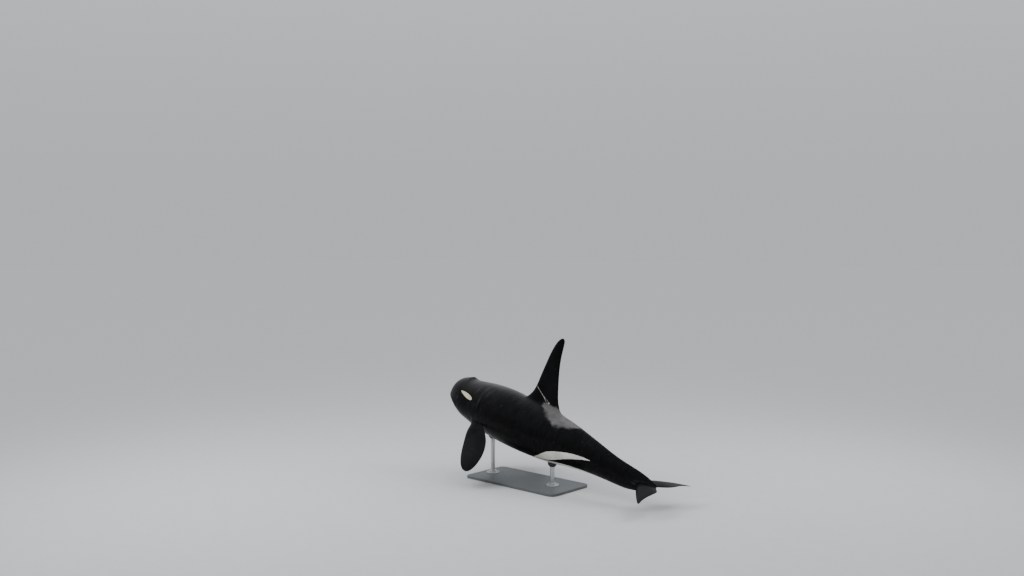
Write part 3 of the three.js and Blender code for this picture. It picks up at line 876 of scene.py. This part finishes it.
def shape_belly_slit(skin, middle_row, rows, long):
    """A lengthwise slit in the middle of the belly."""
    at = STATIONS[middle_row]
    _, bottom = girth_point(at, -math.pi / 2, 0)
    slope = (percent(girth_at(at + 1)[1]) - percent(girth_at(at - 1)[1])) / percent(2)

    def spot(level, back, _, turn):
        grown, out = level
        if turn is None:
            along, y = (long / 2) * back / rows, 0
        else:
            along = (long / 2 + grown) * math.cos(turn)
            y = (BELLY_SLIT_HALF_WIDTH + grown) * math.sin(turn)
        return posed(percent(at) + along, y, bottom + slope * along - out)

    inset_rings(skin, BELLY_SLIT_RINGS, (middle_row, HALF), (rows, 1), spot)


def smooth_skin():
    skin = body_tube()
    grow_dorsal_fin(skin)
    for side in (-1, 1):
        grow_flipper(skin, side)
        grow_fluke(skin, side)
        shape_eyelids(skin, side)
    shape_blowhole(skin)
    for rows_back, rows, long in BELLY_SLITS:
        shape_belly_slit(skin, FIRSTS["loins"] + rows_back, rows, long)
    bpy.ops.mesh.select_all(action="SELECT")
    bpy.ops.mesh.normals_make_consistent(inside=False)
    bpy.ops.object.mode_set(mode="OBJECT")
    bpy.ops.object.modifier_add(type="SUBSURF")
    rounding = bpy.context.object.modifiers[0]
    rounding.levels = 2
    rounding.render_levels = 2
    bpy.ops.object.modifier_apply(modifier=rounding.name)
    bpy.ops.object.shade_smooth()
    return skin


def keep_at_points(piece, name, values):
    attribute = piece.data.attributes.new(name, "FLOAT_VECTOR", "POINT")
    attribute.data.foreach_set("vector", np.asarray(values, np.float32).ravel())


def points_of(piece):
    points = np.zeros(len(piece.data.vertices) * 3)
    piece.data.vertices.foreach_get("co", points)
    return points.reshape(-1, 3)


def table_along(curve, places, at):
    """A curve's values for many places at once."""
    rows = np.array([curve(place) for place in places])
    return [np.interp(at, places, rows[:, i]) for i in range(rows.shape[1])]


def keep_markings_places(skin):
    """Keeps what the markings are drawn by: where each point is on the straight body and on its fins.

    lie is along, side and up. turn is the turn round the body, from -1 at the belly to 1 at the back, then
    the shares of flipper and fluke. blade is the share of the fluke's half span, of its chord, and 1 below.
    """
    straight = straightened(points_of(skin))
    at, side, up = straight.T
    top, bottom, _, waist, crown, keel = table_along(girth_at, np.linspace(0, GIRTH[-1][0], 983), at)
    above = up >= waist
    reach = np.maximum(np.where(above, top - waist, waist - bottom), 0.01)
    share = np.clip(np.abs(up - waist) / reach, 0, 1) ** (np.where(above, crown, keel) / 2)
    turn = np.where(above, 1, -1) * np.arcsin(share) / (math.pi / 2)
    limb = np.zeros(len(at) * 3)
    skin.data.attributes["limb"].data.foreach_get("vector", limb)
    limb = limb.reshape(-1, 3)
    span = np.clip(percent(np.abs(side)) / (FLUKE_SPAN / 2), 0, 1)
    front, rear, thick, droop = table_along(fluke_at, np.linspace(0, 1, 101), span)
    chord = np.clip((at - front) / np.maximum(rear - front, 0.01), 0, 1)
    below = np.clip(0.5 - (up + droop) / np.maximum(thick, 0.2), 0, 1)
    keep_at_points(skin, "lie", straight)
    keep_at_points(skin, "turn", np.stack([turn, limb[:, 1], limb[:, 2]], axis=1))
    keep_at_points(skin, "blade", np.stack([span, chord, below], axis=1))


# Where the white of the throat and belly ends, as a turn round the body at each station
WHITE_EDGE = [
    (0, -0.02),
    (3, -0.05),
    (5.5, -0.10),
    (7.5, -0.18),
    (9, -0.28),
    (11, -0.38),
    (14, -0.47),
    (17, -0.55),
    (20, -0.66),
    (23, -0.75),
    (27, -0.79),
    (33, -0.74),
    (40, -0.70),
    (48, -0.68),
    (54, -0.62),
    (60, -0.60),
    (66, -0.63),
    (72, -0.72),
    (76, -0.86),
    (79, -1.10),
    (100, -1.2),
]
EYE_PATCH = {"at": 13.75, "up": 3.24, "half_long": 3.75, "half_tall": 0.72, "slope": 0.09, "fuller": 0.36}
FLANK_LOBE = {"from": 48.5, "to": 72.5, "low": -0.66, "high": 0.03, "half": 0.2}
# Lower edge of the grey saddle, as a turn round the body at each station, and the height where it ends
SADDLE_EDGE = [
    (0, 1.3),
    (44, 1.2),
    (47, 0.86),
    (50, 0.68),
    (54, 0.54),
    (57, 0.52),
    (60, 0.66),
    (63, 0.92),
    (66, 1.3),
]
SADDLE_TOP = 11.15
# The forked pale line on the fin's left face: station and height of a point on each stroke, its fall for a
# step back, how much it wanders, softness, where it comes in, where it goes out, strength
FIN_STROKES = [
    (41.6, 15.5, 0.655, 0.5, (-0.04, 0.04), (40.8, 42.2), (45, 45.6), 1),
    (45, 13.27, 0.93, 0.5, (-0.05, 0.04), (44.6, 45.2), (47, 47.9), 1),
    (45, 13.2, 0.56, 0.7, (-0.05, 0.05), (44.8, 45.6), (47.7, 48.9), 0.75),
]
# The small mark where the upper fork ends
FIN_MARK = {"at": 48.2, "up": 11.25, "size": 0.1}
# Rows of fine scratches: slope, gap between them and a shift that sets each row apart
RAKES = [(0.22, 0.34, 0), (-0.9, 0.42, 11), (2.6, 0.3, 23)]

DEEP_BLACK = (0.0008, 0.001, 0.0014)
SOFT_BLACK = (0.0042, 0.004, 0.004)
# Painted sheen: the lighter grey painted on the top of the head and fore back.
PAINTED_SHEEN_GREY = (0.03, 0.028, 0.027)
# Painted sheen: the paler grey of the run-off streaks on the nape.
PAINTED_RUN_OFF_SHEEN = (0.03, 0.031, 0.032)
SADDLE_GREY = (0.17, 0.165, 0.158)
SCRATCH_GREY = (0.10, 0.10, 0.10)
# Painted glints: the grey of the pale specks.
PAINTED_GLINT_GREY = (0.24, 0.24, 0.23)
BELLY_WHITES = [(0.56, 0.54, 0.48), (0.74, 0.73, 0.69)]
PATCH_CREAMS = [(0.35, 0.33, 0.22), (0.50, 0.47, 0.34)]
STAINED_SCRATCH = (0.45, 0.42, 0.38)
FIN_LINE_GREY = (0.40, 0.39, 0.37)


class OrcaSkin(Finish):
    """Wet skin, its markings drawn by places on the straight body and turns round it."""

    def __init__(self):
        constants = {"IOR": 1.33, "Specular_IOR_Level": 0.07, "Coat_Roughness": 0.14, "Coat_IOR": 1.33}
        super().__init__("wet orca skin", **constants)
        self.along, self.side, self.up = self.attribute("lie")
        self.turn, flipper, self.fluke = self.attribute("turn")
        self.span, self.chord, self.below = self.attribute("blade")
        self.trunk_only = (1 - flipper) * (1 - self.fluke)
        self.on_body = self.trunk_only * (11 - self.up).rise(0, 2)
        self.spot = self.place()
        self.wobble = self.noise(self.spot, 7, 3) - 0.5
        self.fine_wobble = self.noise(self.spot, 40, 2) - 0.5
        self.worn = self.noise(self.spot, 24, 3, 0.6)
        self.cloud = self.noise(self.spot, 1.6, 5, 0.6)
        lengthwise = self.along.rise(14, 18) * (29 - self.along).rise(0, 7)
        self.on_nape = lengthwise * self.turn.rise(-0.05, 0.3) * (0.85 - self.turn).rise(0, 0.35)
        self.run_off_and_sheen = self.nape_run_off_and_sheen()

    def edge_along(self, rows, low, high):
        """The edge of a marking, as a turn round the body at each station."""
        return self.curve(self.along / 100, [(at / 100, turn) for at, turn in rows], low, high)

    def uneven_border(self, depth):
        """1 where a depth is above zero, its border a little uneven."""
        return (depth + self.wobble * 0.05 + self.fine_wobble * 0.007).rise(-0.005, 0.006)

    def throat_and_belly(self):
        return self.uneven_border(self.edge_along(WHITE_EDGE, -1.3, 0.1) - self.turn) * self.trunk_only

    def flank_lobe(self):
        """The white lobe that runs up and back from the belly."""
        lobe = FLANK_LOBE
        run = ((self.along - lobe["from"]) / (lobe["to"] - lobe["from"])).at_least(0).at_most(1)
        middle = lobe["low"] + (lobe["high"] - lobe["low"]) * run**0.8
        half = lobe["half"] * (1 - run).at_least(0.0001) ** 0.55 * run.rise(-0.05, 0.34)
        between_ends = (1 - run).rise(0, 0.01) * run.rise(0, 0.01)
        return self.uneven_border(half - abs(self.turn - middle)) * between_ends * self.trunk_only

    def eye_patch(self):
        patch = EYE_PATCH
        run = (self.along - patch["at"]) / patch["half_long"]
        room = 1 - run * run
        tall = room.at_least(0.0001) ** 0.5 * patch["half_tall"] * (1 + patch["fuller"] * run)
        off = self.up - patch["up"] + patch["slope"] * (self.along - patch["at"])
        border = (tall - abs(off) + self.wobble * 0.1 + self.fine_wobble * 0.04).rise(-0.03, 0.04)
        return border * room.rise(0, 0.05) * abs(self.side).rise(3, 4)

    def fluke_underside(self):
        """The white below the flukes, inside a dark rim."""
        off_tip = (1 - self.span + self.wobble * 0.08).rise(0.04, 0.09)
        off_edges = (self.chord * (1 - self.chord) * 4 + self.wobble * 0.3).rise(0.3, 0.42)
        off_stock = (self.span + self.wobble * 0.05).rise(0.1, 0.16)
        return self.below.rise(0.5, 0.75) * self.fluke * off_tip * off_edges * off_stock

    def saddle(self):
        """The cloudy grey field behind the fin."""
        blotch = self.noise(self.spot, 5, 6, 0.62)
        depth = self.turn - self.edge_along(SADDLE_EDGE, 0.4, 1.4)
        field = (depth + self.wobble * 0.22 + (blotch - 0.5) * 0.2).rise(-0.06, 0.12)
        under_fin = (SADDLE_TOP - self.up + self.wobble * 1.6).rise(0, 0.9)
        return field * self.trunk_only * under_fin * (0.35 + 1.1 * (blotch - 0.2))

    def fin_line(self):
        broad = 0.03 + 0.12 * self.worn
        back, over = self.along - FIN_MARK["at"], self.up - FIN_MARK["up"]
        mark = FIN_MARK["size"] - back * back * 0.5 - over * over * 1.6
        drawn = (mark + self.fine_wobble * 0.5 + self.wobble * 0.4).rise(-0.04, 0.1) * 0.8
        for at, up, fall, wander, soft, comes, goes, strength in FIN_STROKES:
            off = self.up - up + fall * (self.along - at) + self.wobble * wander
            stroke = (broad - abs(off)).rise(*soft) * self.along.rise(*comes)
            drawn = drawn.at_least(stroke * (1 - self.along.rise(*goes)) * strength)
        on_left = (-1 * self.side).rise(-0.02, 0.05)
        return drawn * on_left * (0.35 + 0.65 * self.worn.rise(0.3, 0.6))

    def nape_run_off_and_sheen(self):
        """Streaks of water that run down behind the head. They wet the coat, and in the colour they are
        painted sheen: pale streaks.
        """
        flow = self.vector(self.along * 0.5 + self.turn * 0.3, self.turn * 1.7, self.side * 0.02)
        return self.noise(flow, 1.15, 3, 0.55).rise(0.48, 0.68) * self.on_nape * self.trunk_only

    def black(self):
        # Painted sheen: the top of the head and fore back is painted a lighter grey, standing in for the
        # light of the sky on the wet skin.
        painted_sheen_top = (self.turn + self.wobble * 0.3).rise(0.2, 0.95) * (34 - self.along).rise(0, 22)
        black = self.mix(self.cloud, DEEP_BLACK, SOFT_BLACK)
        black = self.mix(painted_sheen_top * (0.5 + 0.8 * self.cloud) * 0.55, black, PAINTED_SHEEN_GREY)
        # Painted sheen: the nape's run-off streaks are painted paler than the black.
        return self.mix(self.run_off_and_sheen * 0.5, black, PAINTED_RUN_OFF_SHEEN)

    def rake_marks(self):
        """Short rows of fine parallel scratches, lying three ways."""
        marks = 0
        for slope, gap, shift in RAKES:
            scale = math.hypot(1, slope)
            across = (self.up - self.along * slope + self.wobble * 0.5) / scale
            run = (self.along + self.up * slope) / scale
            teeth = abs((across / gap).fraction() - 0.5).rise(0.07, 0.02)
            bite = self.noise(self.vector(run * 0.16 + shift, across * 0.55, self.side * 0.1), 1.6, 3, 0.55)
            marks = (teeth * bite.rise(0.64, 0.7)).at_least(marks)
        return marks * self.worn.rise(0.25, 0.6)

    def glint_specks(self):
        # Painted glints: small pale specks stand in for light glinting on drops of water.
        cells = {"Vector": self.spot, "Scale": 11}
        distance = self.node("ShaderNodeTexVoronoi", values=cells)
        chance = self.parts_of(self.node("ShaderNodeTexVoronoi", values=cells, output=1))[0]
        return (distance + self.fine_wobble * 0.1).rise(0.075, 0.025) * chance.rise(0.58, 0.66)

    def streaks(self):
        """Broad streaks down the body, and clouds on fins and flippers."""
        flow = self.vector(self.along * 0.55, self.turn * 1.3, self.side * 0.05)
        return self.noise(flow, 2.4, 5, 0.6) * self.on_body + self.cloud * (1 - self.on_body)

    def relief(self, streaks, scratches):
        """Height of streaks, fine wrinkles, pores, scratches and the folds of the nape."""
        pores = self.noise(self.spot, 260, 2, 0.5)
        wrinkles = self.noise(self.vector(self.along * 0.35, self.turn * 16, self.side * 0.3), 2.0, 3, 0.5)
        fold_flow = self.vector(self.along * 0.5 + self.turn * 0.4, self.turn * 0.7, self.side * 0.02 + 3)
        folds = abs(self.noise(fold_flow, 1.7, 2, 0.5) - 0.5).rise(0.06, 0) * self.trunk_only
        fine = streaks * 0.45 + wrinkles * 0.2 * self.on_body + pores * 0.14 + scratches * 0.3
        return fine - folds * self.on_nape * 2.2

    def water_film(self, streaks):
        """How wet the skin is: most on top of the back, least low down and on the fins."""
        top = self.turn.rise(0.45, 0.95) * self.on_body * (62 - self.along).rise(0, 18)
        ridge = self.turn.rise(0.72, 0.95) * self.on_body
        ridge = ridge * self.along.rise(15, 24) * (48 - self.along).rise(0, 10)
        return 0.03 + 0.16 * streaks.rise(0.35, 0.65) + top * 0.3 + ridge * 0.4 + self.run_off_and_sheen * 0.2


def orca_skin_finish():
    """Wet black skin with its white fields, grey saddle, scratches and pale line on the fin."""
    wet = OrcaSkin()
    patch, saddle, scratches, streaks = wet.eye_patch(), wet.saddle(), wet.rake_marks(), wet.streaks()
    white = wet.throat_and_belly().at_least(wet.flank_lobe()).at_least(patch)
    white = white.at_least(wet.fluke_underside())
    colour = wet.mix(saddle * 0.85, wet.black(), SADDLE_GREY)
    colour = wet.mix(scratches * 0.3, colour, SCRATCH_GREY)
    # Painted glints: pale specks mixed into the colour.
    colour = wet.mix(wet.glint_specks() * 0.45, colour, PAINTED_GLINT_GREY)
    stain = wet.noise(wet.spot, 3.5, 6, 0.65).rise(0.32, 0.68)
    pale = wet.mix(patch, wet.mix(stain, *BELLY_WHITES), wet.mix(stain, *PATCH_CREAMS))
    pale = wet.mix(scratches * 0.3, pale, STAINED_SCRATCH)
    colour = wet.mix(white, colour, pale)
    return wet.feed(
        Base_Color=wet.mix(wet.fin_line(), colour, FIN_LINE_GREY),
        Roughness=0.34 + 0.14 * (wet.cloud - 0.5) + white * 0.1 + saddle * 0.08,
        Coat_Weight=wet.water_film(streaks),
        Normal=wet.bump(wet.relief(streaks, scratches), 0.0009),
    )


def set_in_place(piece, name, finish, slot, *nodes):
    """Names a finished piece, gives it its finish and lets it stand for its CAD nodes."""
    piece.name = name
    piece.data.name = name
    piece.data.materials.append(finish)
    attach(piece, "root")
    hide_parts(*nodes)


def pick(piece, *others):
    """Selects a piece and any others, the first one active."""
    deselect_all()
    for each in (piece, *others):
        each.select_set(True)
    bpy.context.view_layer.objects.active = piece


def edit(piece):
    """Opens a piece for editing with nothing selected, and gives its mesh."""
    pick(piece)
    bpy.ops.object.mode_set(mode="EDIT")
    bpy.ops.mesh.select_all(action="DESELECT")
    return bmesh.from_edit_mesh(piece.data)


def apply_place(piece):
    pick(piece)
    bpy.ops.object.transform_apply(location=True, rotation=True, scale=True)


def copy_of(piece, place):
    """A copy with its own mesh, moved and turned by a matrix."""
    pick(piece)
    bpy.ops.object.duplicate()
    made = bpy.context.object
    made.matrix_world = place
    apply_place(made)
    return made


def join_into(piece, others):
    pick(piece, *others)
    bpy.ops.object.join()


def eye_finish():
    """Dark brown iris and oval pupil under a wet cornea, in a reddish white."""
    wet = Finish("wet eye", IOR=1.38, Specular_IOR_Level=0.15, Coat_Roughness=0.02, Coat_IOR=1.38)
    back, level, out = wet.attribute("gaze")
    around = wet.node("ShaderNodeMath", {"operation": "ARCTAN2"}, {0: level, 1: back})
    wide = (back * back + level * level) ** 0.5
    rays = wet.noise(wet.vector(around * 6, wide * 3), 2.5, 4, 0.6)
    veins = wet.noise(wet.vector(back, level, out), 7, 4, 0.7)
    iris = (0.62 - wide + (rays - 0.5) * 0.03).rise(-0.02, 0.03)
    oval = (back * back * 0.55 + level * level * 1.9) ** 0.5
    pupil = (0.27 - oval + (rays - 0.5) * 0.04).rise(-0.01, 0.015)
    white = wet.mix(abs(veins - 0.5).rise(0.04, 0), (0.15, 0.095, 0.08), (0.16, 0.04, 0.03))
    brown = wet.mix(rays.rise(0.3, 0.7), (0.010, 0.006, 0.004), (0.05, 0.029, 0.018))
    brown = wet.mix((wide + rays * 0.06).rise(0.52, 0.62), brown, (0.012, 0.012, 0.016))
    colour = wet.mix(iris, white, brown)
    colour = wet.mix(pupil, colour, (0.002, 0.002, 0.003))
    return wet.feed(
        Base_Color=colour,
        Roughness=0.22 + 0.1 * rays,
        Coat_Weight=0.4 + 0.1 * veins,
        Normal=wet.bump(rays * iris + veins * 0.5, 0.0004),
    )


def eyeball():
    """A ball that looks along +Z, drawn out a little at the cornea."""
    ball = EYE["ball"]
    deselect_all()
    bpy.ops.mesh.primitive_uv_sphere_add(segments=64, ring_count=32, radius=ball, location=(0, 0, 0))
    piece = bpy.context.object
    keep_at_points(piece, "gaze", points_of(piece) / ball)
    mesh = edit(piece)
    max(mesh.verts, key=lambda point: point.co.z).select = True
    mesh.select_flush(True)
    bpy.ops.transform.translate(
        value=(0, 0, CORNEA["out"]),
        use_proportional_edit=True,
        proportional_edit_falloff="SMOOTH",
        proportional_size=CORNEA["reach"],
    )
    bpy.ops.object.mode_set(mode="OBJECT")
    bpy.ops.object.shade_smooth()
    return piece


def paint_finish():
    """Satin grey powder paint with a fine orange peel, dust and rubbed edges."""
    satin = Finish("satin grey paint", IOR=1.5)
    spot = satin.place()
    peel = satin.noise(spot, 420, 2)
    cloud = satin.noise(spot, 2.2, 5, 0.6)
    rub = satin.noise(satin.place((1, 6, 1)), 5, 4, 0.7)
    colour = satin.mix(cloud, (0.075, 0.079, 0.083), (0.10, 0.104, 0.108))
    colour = satin.mix(rub.rise(0.62, 0.8) * 0.3, colour, (0.2, 0.2, 0.2))
    relief = satin.bump(peel, 0.0002, 0.6)
    return satin.feed(Base_Color=colour, Roughness=0.42 + 0.16 * rub, Normal=relief)


def steel_finish():
    """Brushed steel, the brush marks running round the turned pieces."""
    steel = Finish("brushed steel")
    brush = steel.noise(steel.place((1, 1, 40)), 30, 3, 0.7)
    cloud = steel.noise(steel.place(), 7, 4, 0.6)
    colour = steel.mix(cloud, (0.46, 0.465, 0.475), (0.60, 0.605, 0.61))
    return steel.feed(
        Base_Color=colour,
        Metallic=0.97 + 0.03 * cloud,
        Roughness=0.24 + 0.16 * brush + 0.1 * cloud,
        Normal=steel.bump(brush, 0.0001),
    )


def rubber_finish():
    """Black rubber with a dusty bloom."""
    rubber = Finish("black rubber", IOR=1.5)
    spot = rubber.place()
    bloom = rubber.noise(spot, 16, 4, 0.6)
    grain = rubber.noise(spot, 500, 2)
    colour = rubber.mix(bloom, (0.014, 0.014, 0.015), (0.035, 0.035, 0.036))
    relief = rubber.bump(grain, 0.0002, 0.5)
    return rubber.feed(Base_Color=colour, Roughness=0.62 + 0.18 * bloom, Normal=relief)


# Sizes of the stand in metres, and the gap between touching pieces
NODE_GAP = 0.0003
BASE = {"long": 2.7, "wide": 1.3, "thick": 0.06, "corner": 0.14}
FOOT = {"radius": 0.15, "thick": 0.024, "bolts_on": 0.115, "bolts": 6}
ROD = {"radius": 0.05}
CUP = {"radius": 0.105, "tall": 0.095, "neck": 0.062}
BASE_RIM = 0.008
GROOVE = {"from_edge": 0.06, "half_wide": 0.004, "deep": 0.003}
# Stations of the body over the rods, and faces round a turned piece
ROD_STATIONS = {"front": 24, "rear": 54}
ROUND_SIDES = 64


def bevel_edges(piece, chosen, offset, segments):
    """Bevels the edges that a test on their two ends picks."""
    bpy.ops.mesh.select_mode(type="EDGE")
    mesh = bmesh.from_edit_mesh(piece.data)
    bpy.ops.mesh.select_all(action="DESELECT")
    for edge in mesh.edges:
        if chosen(edge.verts[0].co, edge.verts[1].co):
            edge.select = True
    bpy.ops.mesh.bevel(offset=offset, segments=segments, affect="EDGES", profile=0.5)


def finish_edit(piece, smooth_to=35):
    bpy.ops.mesh.select_all(action="SELECT")
    bpy.ops.mesh.normals_make_consistent(inside=False)
    bpy.ops.object.mode_set(mode="OBJECT")
    bpy.ops.object.shade_smooth_by_angle(angle=math.radians(smooth_to))
    apply_place(piece)
    return piece


def base_plate():
    """The flat base, its corners rounded, its rim eased, and a groove milled along its edge."""
    deselect_all()
    bpy.ops.mesh.primitive_cube_add(size=1, location=(0, 0, BASE["thick"] / 2))
    piece = bpy.context.object
    bpy.ops.transform.resize(value=(BASE["long"], BASE["wide"], BASE["thick"]))
    apply_place(piece)
    edit(piece)
    bevel_edges(piece, lambda a, b: abs(a.z - b.z) > 0.01, BASE["corner"], 10)
    bevel_edges(piece, lambda a, b: abs(a.z - b.z) < 0.001, BASE_RIM, 3)
    mesh = bmesh.from_edit_mesh(piece.data)
    bpy.ops.mesh.select_all(action="DESELECT")
    bpy.ops.mesh.select_mode(type="FACE")
    top = [face for face in mesh.faces if face.normal.z > 0.999]
    max(top, key=lambda face: face.calc_area()).select = True
    bpy.ops.mesh.inset(thickness=GROOVE["from_edge"])
    bpy.ops.mesh.inset(thickness=GROOVE["half_wide"], depth=-GROOVE["deep"])
    bpy.ops.mesh.inset(thickness=GROOVE["half_wide"], depth=GROOVE["deep"])
    return finish_edit(piece)


def turned_piece(sides, x, low, rings):
    """A round piece drawn upwards from a disc, ring by ring. Each ring gives radius and height over low."""
    deselect_all()
    radius, height = rings[0]
    bpy.ops.mesh.primitive_circle_add(
        vertices=sides, radius=radius, fill_type="NGON", location=(x, 0, low + height)
    )
    piece = bpy.context.object
    edit(piece)
    bpy.ops.mesh.select_all(action="SELECT")
    for wider, higher in rings[1:]:
        bpy.ops.mesh.extrude_region_move(TRANSFORM_OT_translate={"value": (0, 0, higher - height)})
        bpy.ops.transform.resize(value=(wider / radius, wider / radius, 1))
        radius, height = wider, higher
    return finish_edit(piece)


def bolt():
    """A hexagon bolt head on a washer, with a chamfered top."""
    washer = turned_piece(24, 0, 0, [(0.021, 0), (0.021, 0.002), (0.0205, 0.0026)])
    head = turned_piece(6, 0, 0.0026, [(0.016, 0), (0.016, 0.0085), (0.0135, 0.0105)])
    join_into(washer, [head])
    return washer


def foot():
    """A round flange with a collar for the rod and a ring of bolts, standing at the origin."""
    thick, wide = FOOT["thick"], FOOT["radius"]
    outline = [(wide - 0.002, 0), (wide, 0.002), (wide, thick - 0.006), (wide - 0.002, thick - 0.002)]
    outline += [(wide - 0.006, thick), (0.082, thick), (0.079, thick + 0.003), (0.078, thick + 0.03)]
    outline += [(0.076, thick + 0.036), (0.07, thick + 0.04), (0.056, thick + 0.043)]
    outline += [(0.051, thick + 0.043)]
    flange = turned_piece(ROUND_SIDES, 0, 0, outline)
    first_bolt = bolt()
    bolts = []
    for i in range(FOOT["bolts"]):
        turn = 2 * math.pi * (i + 0.5) / FOOT["bolts"]
        spot = Vector((FOOT["bolts_on"] * math.cos(turn), FOOT["bolts_on"] * math.sin(turn), thick))
        bolts.append(copy_of(first_bolt, Matrix.Translation(spot)))
    bpy.data.objects.remove(first_bolt)
    join_into(flange, bolts)
    return flange


def rod(x, low, tall):
    """A steel rod with a wider head under the cup."""
    wide = ROD["radius"]
    outline = [(wide, 0.001), (wide, tall - 0.05), (wide, tall - 0.032), (wide + 0.007, tall - 0.03)]
    outline += [(wide + 0.01, tall - 0.026), (wide + 0.01, tall - 0.004), (wide + 0.007, tall)]
    return turned_piece(ROUND_SIDES, x, low, outline)


def cup(x, low, skin_tree):
    """A rubber cup whose rim is laid against the skin above it."""
    neck, broad = CUP["neck"], CUP["radius"]
    outline = [(neck, 0), (neck + 0.006, 0.004), (broad - 0.012, 0.035), (broad, 0.05)]
    outline += [(broad, 0.06), (broad + 0.001, 0.061), (broad, 0.062), (broad - 0.008, 0.063)]
    outline += [(0.03, 0.064)]
    piece = turned_piece(ROUND_SIDES, x, low, outline)
    # How far below the skin each ring of the rim lies
    hang = {0.06: 0.012, 0.061: 0.006, 0.062: 0.001, 0.063: -0.002, 0.064: -0.002}
    mesh = edit(piece)
    for point in mesh.verts:
        height = round(point.co.z - low, 4)
        if height in hang:
            hit = skin_tree.ray_cast(Vector((point.co.x, point.co.y, 0)), Vector((0, 0, 1)))[0]
            bpy.ops.mesh.select_all(action="DESELECT")
            point.select = True
            mesh.select_flush(True)
            bpy.ops.transform.translate(value=(0, 0, hit.z - hang[height] - point.co.z))
    return finish_edit(piece, 50)


def build_skin():
    skin = smooth_skin()
    keep_markings_places(skin)
    skin.data.materials.append(orca_skin_finish())
    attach(skin, "root")
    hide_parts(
        "head",
        "lower_jaw",
        "chest",
        "trunk",
        "loins",
        "tail_stock_front",
        "tail_stock_rear",
        "dorsal_fin",
        "flipper_left",
        "flipper_right",
        "fluke_left",
        "fluke_right",
    )
    return skin


def build_eyes():
    ball, finish = eyeball(), eye_finish()
    for side, name in ((-1, "left"), (1, "right")):
        looking_out = skin_frame(EYE["at"], EYE["height"], side)
        sunk = Matrix.Translation((0, 0, EYE["proud"] - EYE["ball"]))
        set_in_place(copy_of(ball, looking_out @ sunk), "eyeball_" + name, finish, "eye", "eye_" + name)
    bpy.data.objects.remove(ball)


def build_stand(skin):
    set_in_place(base_plate(), "base_plate", paint_finish(), "stand_paint", "stand_base")
    steel, rubber = steel_finish(), rubber_finish()
    corners = [vert.co for vert in skin.data.vertices]
    skin_tree = BVHTree.FromPolygons(corners, [face.vertices for face in skin.data.polygons])
    first_foot = foot()
    for name, station in ROD_STATIONS.items():
        under = posed(percent(station), 0, percent(girth_at(station)[1]))
        foot_low = BASE["thick"] + NODE_GAP
        rod_low = foot_low + FOOT["thick"] + NODE_GAP
        cup_low = under.z - CUP["tall"]
        made = copy_of(first_foot, Matrix.Translation((under.x, 0, foot_low)))
        set_in_place(made, "foot_" + name, steel, "stand_steel", "stand_foot_" + name)
        made = rod(under.x, rod_low, cup_low - NODE_GAP - rod_low)
        set_in_place(made, "rod_" + name, steel, "stand_steel", "stand_rod_" + name)
        made = cup(under.x, cup_low, skin_tree)
        set_in_place(made, "cup_" + name, rubber, "stand_pad", "stand_cup_" + name)
    bpy.data.objects.remove(first_foot)


FLOOR_SIDE = 400
FLOOR_GREYS = [(0.49, 0.49, 0.49), (0.53, 0.53, 0.53)]
# The light all round, at the horizon and overhead
HORIZON_LIGHT = (0.60, 0.62, 0.64)
OVERHEAD_LIGHT = (1.40, 1.475, 1.55)
# Soft lamps: place, side and power
LAMPS = [((-5, -7, 10), 7, 900), ((6, 6, 9), 7, 500)]
LIT_SPOT = Vector((0, 0, 1))


def lay_floor():
    deselect_all()
    bpy.ops.mesh.primitive_plane_add(size=FLOOR_SIDE, location=(0, 0, 0))
    floor = bpy.context.object
    floor.name = "floor"
    pale = Finish("pale floor", Roughness=1, Specular_IOR_Level=0)
    grain = pale.noise(pale.place(), 3, 4)
    floor.data.materials.append(pale.feed(Base_Color=pale.mix(grain, *FLOOR_GREYS)))


def set_light():
    sky = Surroundings()
    height = sky.parts_of(sky.node("ShaderNodeTexCoord"))[2]
    light = sky.mix(height.rise(0.02, 0.95), HORIZON_LIGHT, OVERHEAD_LIGHT)
    bpy.context.scene.world = sky.feed(Color=light, Strength=0.9)
    for place, side, power in LAMPS:
        bpy.ops.object.light_add(type="AREA", location=place)
        lamp = bpy.context.object
        lamp.data.size = side
        lamp.data.energy = power
        lamp.visible_glossy = False
        lamp.rotation_euler = (LIT_SPOT - Vector(place)).to_track_quat("-Z", "Y").to_euler()


# The photo's camera: round from the left side and down from level in degrees, lens and sensor in millimetres
CAMERA = {"place": (15.1164, -16.86, 5.5458), "round": 42.7, "down": 2.73, "lens": 35, "sensor": 36}


def photo_camera():
    deselect_all()
    turn = (math.radians(90 - CAMERA["down"]), 0, math.radians(CAMERA["round"]))
    bpy.ops.object.camera_add(location=CAMERA["place"], rotation=turn)
    camera = bpy.context.object
    camera.data.lens = CAMERA["lens"]
    camera.data.sensor_width = CAMERA["sensor"]
    bpy.context.scene.camera = camera


orca = build_skin()
build_eyes()
build_stand(orca)
lay_floor()
set_light()
photo_camera()
